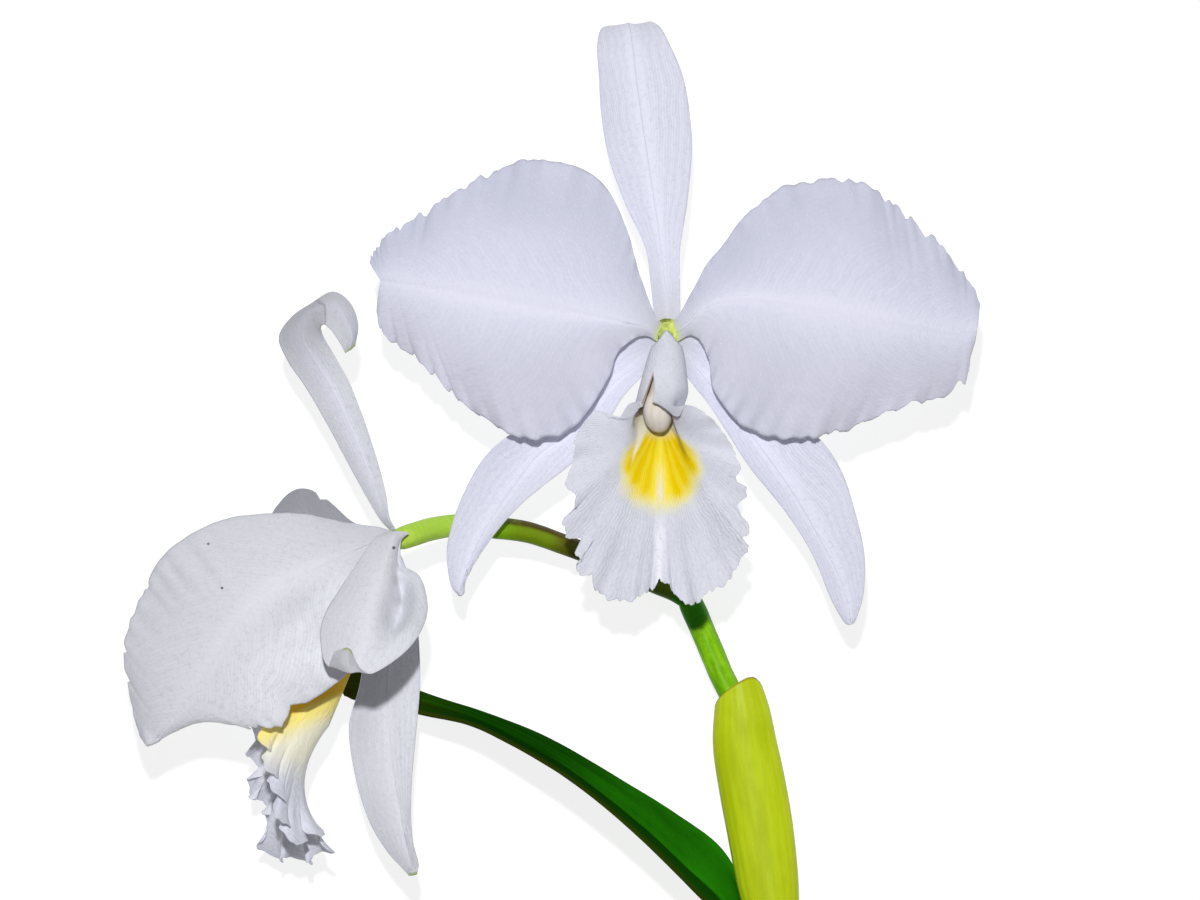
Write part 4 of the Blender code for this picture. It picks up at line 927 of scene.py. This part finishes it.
def frilledPoint(look, t, v, side, start, finish, teeth):
    # a ray from the tube's mouth (t = 0) to the frilled margin (t = 1)
    share = min(1.0, (finish - start).length / look.full)
    hold = share * share * (1.0 - abs(side) ** 6)
    late = t ** look.ruffleFrom
    pull = look.reach * share * (0.15 + 0.85 * (1.0 + cos(pi * side)) / 2.0)
    drop = look.fall * (finish.z - start.z) * share
    pinch = look.waist * max(0.0, 1.0 - abs(side) / 0.6)
    bend = start + Vector((0.0, -pull, drop + pinch))
    local = start * (1.0 - t) ** 2 + bend * (2.0 * t * (1.0 - t)) + finish * t * t + teeth * t ** 7
    turns = fullTurn * look.waves * v + look.phase
    small = fullTurn * look.frills * v + 3.0 * roughNoise(v * 9.0, 0.0, look.seed)
    ragged = roughNoise(v * look.nickCount, 1.0, look.seed)
    ragged += 0.6 * roughNoise(v * look.nickCount * 2.3, 2.0, look.seed)
    stretch = look.tooth * late * t * t * cos(turns) + look.nick * t ** 8 * ragged
    local += (finish - start).normalized() * hold * stretch
    local.x += look.curl * late * hold * cos(turns)
    local.z += look.wave * late * hold * sin(turns) + look.frill * t ** 6 * hold * sin(small)
    local.z += look.pleat * t * (1.0 - t) * 4.0 * hold * cos(fullTurn * look.pleats * v)
    local.z += look.ridge * max(0.0, 1.0 - abs(side) / look.ridgeWidth) * sin(pi * min(1.0, t * 1.2))
    return local


def makeLip(name, look, relief, paint):
    # rolled tube round the column for the first rows, then rays out to the frilled margin
    look = SimpleNamespace(**look)
    across = Vector(look.across).normalized()
    up = Vector(look.up).normalized()
    turn = Matrix((across, up.cross(across), up)).transposed()
    foot = Vector(look.foot)
    rows, columns = look.grid
    rays = []
    for j in range(columns + 1):
        v = j / columns
        finish = between(look.margin, v)
        side = 2.0 * v - 1.0
        rays.append((v, side, ringPoint(look, 1.0, side), finish, toothedMargin(look, v) - finish))
    grid, spots, inward = [], [], []
    for i in range(rows + 1):
        u = i / rows
        part = u / look.tubeShare
        axisX, keel, radius = tubeAt(look, min(1.0, part))
        if part <= 1.0:
            row = [ringPoint(look, part, ray[1]) for ray in rays]
        else:
            t = 1.0 - (1.0 - (u - look.tubeShare) / (1.0 - look.tubeShare)) ** 1.4
            row = [frilledPoint(look, t, *ray) for ray in rays]
        row = [turn @ local + foot for local in row]
        for spot in row:
            spot.z = max(spot.z, look.lowest)
        grid.append(row)
        spots.append([tuple(turn.transposed() @ (spot - foot)) for spot in row])
        inward.append([tuple(turn @ Vector((axisX - x, 0.0, keel + radius - z)).normalized())
                       for x, y, z in spots[-1]])
    obj = sheetMesh(name, grid, vectors=(("lipSpot", spots), ("inward", inward)),
                    thin=lambda u, v: 1.0 - look.thinEdge * u ** 3)
    useTree(obj, reliefTree, relief, paint)
    addWall(obj, look.wall, 0.5)
    return settle(obj)


fanA = dict(
    x=-0.7, y=-19.5, long=25.0, wide=0.8, curl=15.0, outside=0.0,
    # cream wall left of the fan, painted lighter than the tube's cream against the column's shadow;
    # dark gold line at its right: the throat's yellow with painted shade along the fold's edge
    patches=[
        ((0.98, 0.93, 0.74), 0.95, [("x", -0.141, -4.4, -3.4), ("x", -0.4255, 5.4, 4.4),
                                    ("y", 0.0, -12.0, -14.0)]),
        ((0.50, 0.36, 0.03), 0.6, [("x", 0.526, -9.5, -8.9), ("x", 0.526, -8.2, -8.6),
                                   ("y", 0.0, -31.0, -27.0), ("y", 0.0, -16.0, -19.0)]),
    ])
fanB = dict(
    x=0.0, y=0.0, long=1.0, wide=0.8, curl=10.0, outside=1.0,
    # pale yellow shows through the wall on the camera's side; a deeper yellow strip and an orange-gold one
    # along the near petal's edge are the lip's yellow deepened as painted shade where that petal's shadow
    # falls
    patches=[
        ((0.88, 0.85, 0.64), 0.9, [("y", 0.0, -68.0, -56.0), ("y", 0.0, -28.0, -38.0), ("x", 0.0, 0.0, 3.0)]),
        ((0.90, 0.74, 0.16), 0.9, [("z", 0.952, -51.0, -42.5), ("y", 0.0, -28.0, -36.0),
                                   ("x", 0.0, -2.0, 2.0)]),
        ((0.80, 0.48, 0.02), 0.9, [("z", 0.952, -42.0, -39.5), ("y", 0.0, -26.0, -32.0),
                                   ("x", 0.0, -2.0, 2.0)]),
    ])
lipRelief = dict(plainRelief, rippleHeight=0.5, rippleSize=200.0, seed=12.0)
for node, look, paintName, fan in (("lip_a", lipA, "lipWhiteYellow", fanA),
                                   ("lip_b", lipB, "sideLipWhiteYellow", fanB)):
    standIn(makeLip(node + "_fine", look, lipRelief, makeLipFinish(paintName, fan)), node)
print("lips built")


# columns, stems
def sweepMesh(name, route, settings, paint):
    # route: x, y, z and radius, resampled as a fine curve and swept by the stem tree
    points = settings["points"]
    curve = bpy.data.curves.new(name + "_path", "CURVE")
    curve.dimensions = "3D"
    spline = curve.splines.new("POLY")
    spline.points.add(points - 1)
    shift = Vector((*centreShift, 0.0))
    for number, point in enumerate(spline.points):
        x, y, z, radius = (between(route, number / (points - 1)) + shift) * mm
        point.co = (x, y, z, 1.0)
        point.radius = radius
    source = addObject(name + "_path", curve)
    useTree(source, stemTree, settings, paint)
    mesh = evaluatedMesh(source)
    bpy.data.objects.remove(source)
    weld = bmesh.new()
    weld.from_mesh(mesh)
    bmesh.ops.remove_doubles(weld, verts=weld.verts, dist=0.001 * mm)
    bmesh.ops.recalc_face_normals(weld, faces=weld.faces)
    weld.to_mesh(mesh)
    weld.free()
    return addObject(name, mesh)


columnLook = dict(
    greenFinish, dark=(0.7, 0.64, 0.56), light=(0.8, 0.75, 0.7), spot=(0.78, 0.68, 0.64), mottle=0.4,
    mottleSize=400.0, streakLong=6.0, streaks=2.0, roughness=0.4, specular=0.08, soft=0.2, streakBump=0.04,
    # bands: green at the column's foot; a brown line round its tip, partly the anther cap's rim and partly
    # painted shade where the tip meets the lip
    bands=[("along", 0.32, 0.08, 0.95, (0.56, 0.66, 0.10)), ("along", 0.985, 0.997, 0.5, (0.52, 0.36, 0.12))])
columnPaint = makeGreenFinish("columnCream", columnLook)
columnRoutes = {
    "column_a": [
        (30.2, 47.8, 46, 1.7), (30.2, 47.4, 50, 1.8), (29.9, 45.2, 53, 2),
        (29.2, 39, 56.2, 2.6), (28.6, 33, 59.2, 3.2), (27.7, 28.6, 59.8, 4),
        (27.8, 25.8, 57.4, 3.7), (27.9, 25, 54.8, 2.8),
    ],
    "column_b": [
        (-42.8, -7.2, 38, 1.7), (-44.2, -8.4, 37.6, 1.8), (-46.2, -11.8, 37.2, 1.9),
        (-49.4, -17.4, 37, 2.2), (-53.3, -24.7, 37, 2.6), (-57, -31.9, 37, 3),
        (-58.8, -35.4, 37, 2.9), (-59.6, -37, 37, 1.2),
    ],
}
columnSettings = dict(points=40, rings=60, sides=36, ridges=3.0, ridgeDepth=0.12, unevenness=0.3, seed=2.0)
for node, route in columnRoutes.items():
    standIn(sweepMesh(node + "_fine", route, columnSettings, columnPaint), node)

stemLook = dict(
    # the pale mottle is partly the stem's own speckles and partly painted specks of highlight
    greenFinish, dark=(0.130, 0.370, 0.002), light=(0.250, 0.580, 0.003), spot=(0.42, 0.66, 0.05),
    mottle=0.28, mottleSize=700.0, streakLong=8.0, streaks=1.6, roughness=0.36,
    # pale band 28 to 36 mm up: the stalks' own paler green with a painted highlight; yellow-green eye above
    # it;
    # olive stretch under the large flower, partly painted shade of that flower
    bands=[("Z", 0.028, 0.036, 0.55, (0.52, 0.68, 0.11)), ("Z", 0.0395, 0.043, 0.9, (0.72, 0.82, 0.14))],
    olive=dict(left=(-0.022, -0.006), right=(0.036, 0.026), low=(-0.024, -0.018), tint=(0.14, 0.19, 0.004),
               back=(0.055, 0.026, 0.005)),
    # a dark brown patch on the olive stretch; a dark olive patch where the side flower's stalk leaves the
    # stem, partly its brownish tone and partly painted shade; the large flower's lip painted as a shadow on
    # the stem at the fork
    spots=[(6.5, -9.5, 3.0, 9.0, 0.8, (0.075, 0.060, 0.004)),
           (28.6, -20.7, 4.0, 8.0, 0.8, (0.055, 0.080, 0.002)),
           (37.5, -26.0, 4.8, 6.2, 0.85, (0.006, 0.20, 0.001))])
stemPaint = makeGreenFinish("stemGreen", stemLook)
stemSettings = dict(points=60, rings=150, sides=40, ridges=7.0, ridgeDepth=0.04, unevenness=0.25)
peduncle = [
    (60.6, -120.1, 10, 3.6), (57.9, -103.8, 9.8, 3.5), (54.9, -84.5, 9.6, 3.4),
    (52.1, -68, 9.6, 3.4), (49.9, -54.2, 9.4, 3.4), (45.3, -43.8, 9.2, 3.4),
    (40.9, -33.3, 9.2, 3.4), (37.5, -25.6, 9.2, 3.4), (35.9, -22.3, 9.4, 2.6),
]
pedicelA = [
    (37, -24.5, 9.2, 2.6), (35.6, -17.1, 8, 2.6), (34.3, -6.1, 5.4, 2.6),
    (33.2, 6.3, 3.4, 2.6), (32.4, 17.4, 3.4, 2.6), (31.5, 27.1, 7, 2.8),
    (30.9, 35.2, 15, 3.1), (30.4, 41.9, 27, 3.3), (30.2, 46.6, 38, 3.5),
    (30.2, 48.2, 43.5, 3.8), (30.2, 49, 47.4, 3.8), (30.2, 49.2, 48.7, 2.6),
]
pedicelB = [
    (37, -24.5, 9.4, 2.6), (32.6, -21.7, 10.4, 2.6), (27.3, -19.5, 12, 2.6),
    (19.9, -16.1, 14.5, 2.6), (11.7, -12.2, 17.5, 2.7), (2.6, -8.6, 20.5, 2.8),
    (-6.9, -5.2, 23.6, 2.9), (-16.1, -3.8, 26.6, 3), (-25.8, -3, 30, 3),
    (-33.3, -4, 34, 3.1), (-37.8, -5.3, 36.8, 3.2), (-41.4, -6.5, 38, 3.1),
    (-43.6, -7.6, 38.2, 2.2),
]


def joinSolids(name, parts):
    first, *others = parts
    for other in others:
        union = first.modifiers.new("Join", "BOOLEAN")
        union.operation = "UNION"
        union.object = other
        settle(first)
        bpy.data.objects.remove(other)
    first.name = name
    return first


stem = joinSolids("flower_stem_fine", [
    sweepMesh(name, route, dict(stemSettings, seed=seed), stemPaint) for name, route, seed in (
        ("peduncle", peduncle, 5.0), ("pedicelA", pedicelA, 6.0), ("pedicelB", pedicelB, 7.0))
])
standIn(stem, "flower_stem")
print("columns and stems built")


# sheath, leaf, storage stem
sheathAxis = [
    (50.2, -45.4, 9.6), (51.3, -54.8, 10), (52.1, -63.8, 10), (54.1, -74.9, 10),
    (56.3, -87.2, 10), (58.5, -102.4, 10), (60.1, -113.4, 10), (61, -121, 10),
]
sheathHalf = [
    (5.4, 4.6), (7.4, 4.9), (8.5, 5), (8.9, 5), (8.8, 5), (8.1, 5), (6.6, 5), (5.6, 5),
]
# how far the mouth's rim lies below its top, every 45 degrees from the left side over the front
mouthDrop = [(7.6, 0), (4, 0), (1, 0), (0, 0), (3.2, 0), (4, 0), (5, 0), (6.6, 0), (7.6, 0)]
sheathLength = 74.0
bulbAxis = [
    (60.8, -120, 10), (60.9, -120.9, 10), (61, -123.5, 10), (61.5, -129, 10),
    (62.3, -135.6, 10),
]
bulbHalf = [(6.6, 6.0), (8.8, 8.0), (10.1, 9.4), (10.8, 10.0), (10.9, 10.0)]


def ringSpot(axis, halves, u, angle, depth=0.0, ribs=8):
    # a point of the oval ring at u, with ribs of the given depth
    middle = between(axis, u)
    ahead = between(axis, u + 0.01) - between(axis, u - 0.01)
    side = Vector((ahead.y, -ahead.x, 0.0)).normalized()
    wide, high = between(halves, u)
    scale = 1.0 + depth * (cos(ribs * angle) - 1.0)
    return middle + (side * wide * cos(angle) + Vector((0.0, 0.0, high * sin(angle)))) * scale


sheathLook = dict(
    greenFinish, dark=(0.44, 0.545, 0.006), light=(0.52, 0.64, 0.010), spot=(0.60, 0.70, 0.03), mottle=0.25,
    mottleSize=90.0, streaks=2.6, roughness=0.42, soft=0.08,
    bands=[("along", 0.016, 0.0, 0.7, (0.24, 0.12, 0.02)), ("across", 0.045, 0.0, 0.5, (0.40, 0.25, 0.02)),
           ("across", 0.93, 1.0, 0.5, (0.40, 0.25, 0.02))])
sheathRelief = dict(plainRelief, ribCount=22.0, ribDepth=0.05)
sheathWall = 0.6
ringPoints = 96  # of the sheath and of the storage stem
sheathRows = 110
sheathGrid = []
for i in range(sheathRows + 1):
    u = i / sheathRows
    row = []
    for j in range(ringPoints):
        drop = between(mouthDrop, j / ringPoints)[0]
        slant = drop / sheathLength * (1.0 - u) ** 3
        row.append(ringSpot(sheathAxis, sheathHalf, u * (1.0 - slant) + slant, fullTurn * j / ringPoints))
    sheathGrid.append(row)
sheath = sheetMesh("sheath_fine", sheathGrid, closed=True)
useTree(sheath, reliefTree, sheathRelief, makeGreenFinish("sheathYellowGreen", sheathLook))
addWall(sheath, sheathWall)
standIn(settle(sheath), "sheath")

leafFinish = dict(
    greenFinish, dark=(0.0035, 0.038, 0.0008), light=(0.007, 0.075, 0.0012), spot=(0.012, 0.11, 0.002),
    mottle=0.2, mottleSize=60.0, streakLong=3.0, turn=3.0, roughness=0.6, specular=0.0, soft=0.0,
    streakBump=0.04,
    bands=[("along", 0.62, 0.12, 0.85, (0.020, 0.23, 0.0035)),
           ("across", 0.64, 0.70, 0.8, (0.003, 0.030, 0.001)),
           ("across", 0.92, 0.97, 0.4, (0.05, 0.04, 0.004)),
           ("X", -0.022, -0.050, 0.5, (0.045, 0.028, 0.003))])
leafLook = dict(bladeLook, grid=(180, 60), belly=0.04, wave=0.3, waves=2.0, phase=0.0, seed=11.0, wall=1.3)
leafRelief = dict(plainRelief, midribDepth=0.5, midribWidth=0.06, ribCount=18.0, ribDepth=0.02,
                  rippleHeight=0.4, rippleSize=60.0, seed=11.0)
leafPaint = makeGreenFinish("leafGreen", leafFinish)
standIn(makeBlade("leaf_fine", leafBlade, leafLook, leafRelief, leafPaint), "leaf")

bulbLook = dict(
    greenFinish, dark=(0.10, 0.22, 0.012), light=(0.24, 0.38, 0.035), spot=(0.34, 0.44, 0.08), mottle=0.4,
    mottleSize=120.0, roughness=0.45, specular=0.15, streakBump=0.08,
    bands=[("along", 0.965, 0.995, 0.8, (0.42, 0.42, 0.16))])
bulbRows = 40
bulbRibs = 0.012
bulbGrid = []
for i in range(bulbRows + 1):
    row = [ringSpot(bulbAxis, bulbHalf, i / bulbRows, fullTurn * j / ringPoints - pi / 2.0, bulbRibs)
           for j in range(ringPoints)]
    for spot in row:
        spot.z = max(spot.z, 0.0)
    bulbGrid.append(row)
bulb = sheetMesh("pseudobulb_top_fine", bulbGrid, closed=True)
bulb.data.materials.append(makeGreenFinish("storageStemGreen", bulbLook))
caps = bmesh.new()
caps.from_mesh(bulb.data)
bmesh.ops.holes_fill(caps, edges=[edge for edge in caps.edges if edge.is_boundary], sides=ringPoints)
bmesh.ops.recalc_face_normals(caps, faces=caps.faces)
caps.to_mesh(bulb.data)
caps.free()
bulb.data.set_sharp_from_angle(angle=radians(45))
standIn(bulb, "pseudobulb_top")
print("sheath, leaf and storage stem built")


# floor, light and camera
white = (1.0, 1.0, 1.0, 1.0)
stageLook = SimpleNamespace(
    floor=(0.26, 0.26, 0.26, 1.0), floorSize=12.0, roughness=0.9, specular=0.1, glow=0.82, world=0.18,
    key=17.5, keySize=0.05, keyPlace=(-0.02, 0.29, 1.43), keyAim=(0.0, 0.0, 0.03),
    # the photo's frame is 321.6 mm wide at 50 mm above the surface, which is 1450 mm from the camera
    camera=(0.01289, 0.01783, 1.5), sensor=36.0, frameWide=321.6, frameAway=1450.0, farthest=20.0)
bpy.ops.mesh.primitive_plane_add(size=stageLook.floorSize, location=(0.0, 0.0, -0.0002))
floor = bpy.context.object
floor.name = "floor"
floorPaint, floorShader = newFinish("paleFloor", stageLook)
fill(floorShader, {"Base Color": stageLook.floor, "Emission Color": white,
                   "Emission Strength": stageLook.glow})
floor.data.materials.append(floorPaint)

world = bpy.data.worlds.new("softSurround")
world.use_nodes = True
fill(world.node_tree.nodes["Background"], {"Color": white, "Strength": stageLook.world})
bpy.context.scene.world = world

keyData = bpy.data.lights.new("keyLight", "AREA")
keyData.size = stageLook.keySize
keyData.energy = stageLook.key
key = addObject("keyLight", keyData)
key.location = stageLook.keyPlace
key.rotation_euler = (Vector(stageLook.keyAim) - key.location).to_track_quat("-Z", "Y").to_euler()

cameraData = bpy.data.cameras.new("photoView")
cameraData.sensor_width = stageLook.sensor
cameraData.lens = stageLook.sensor * stageLook.frameAway / stageLook.frameWide
cameraData.clip_end = stageLook.farthest
camera = addObject("photoView", cameraData)
camera.location = stageLook.camera
bpy.context.scene.camera = camera
bpy.context.scene.view_settings.view_transform = "Standard"
print("stage set")
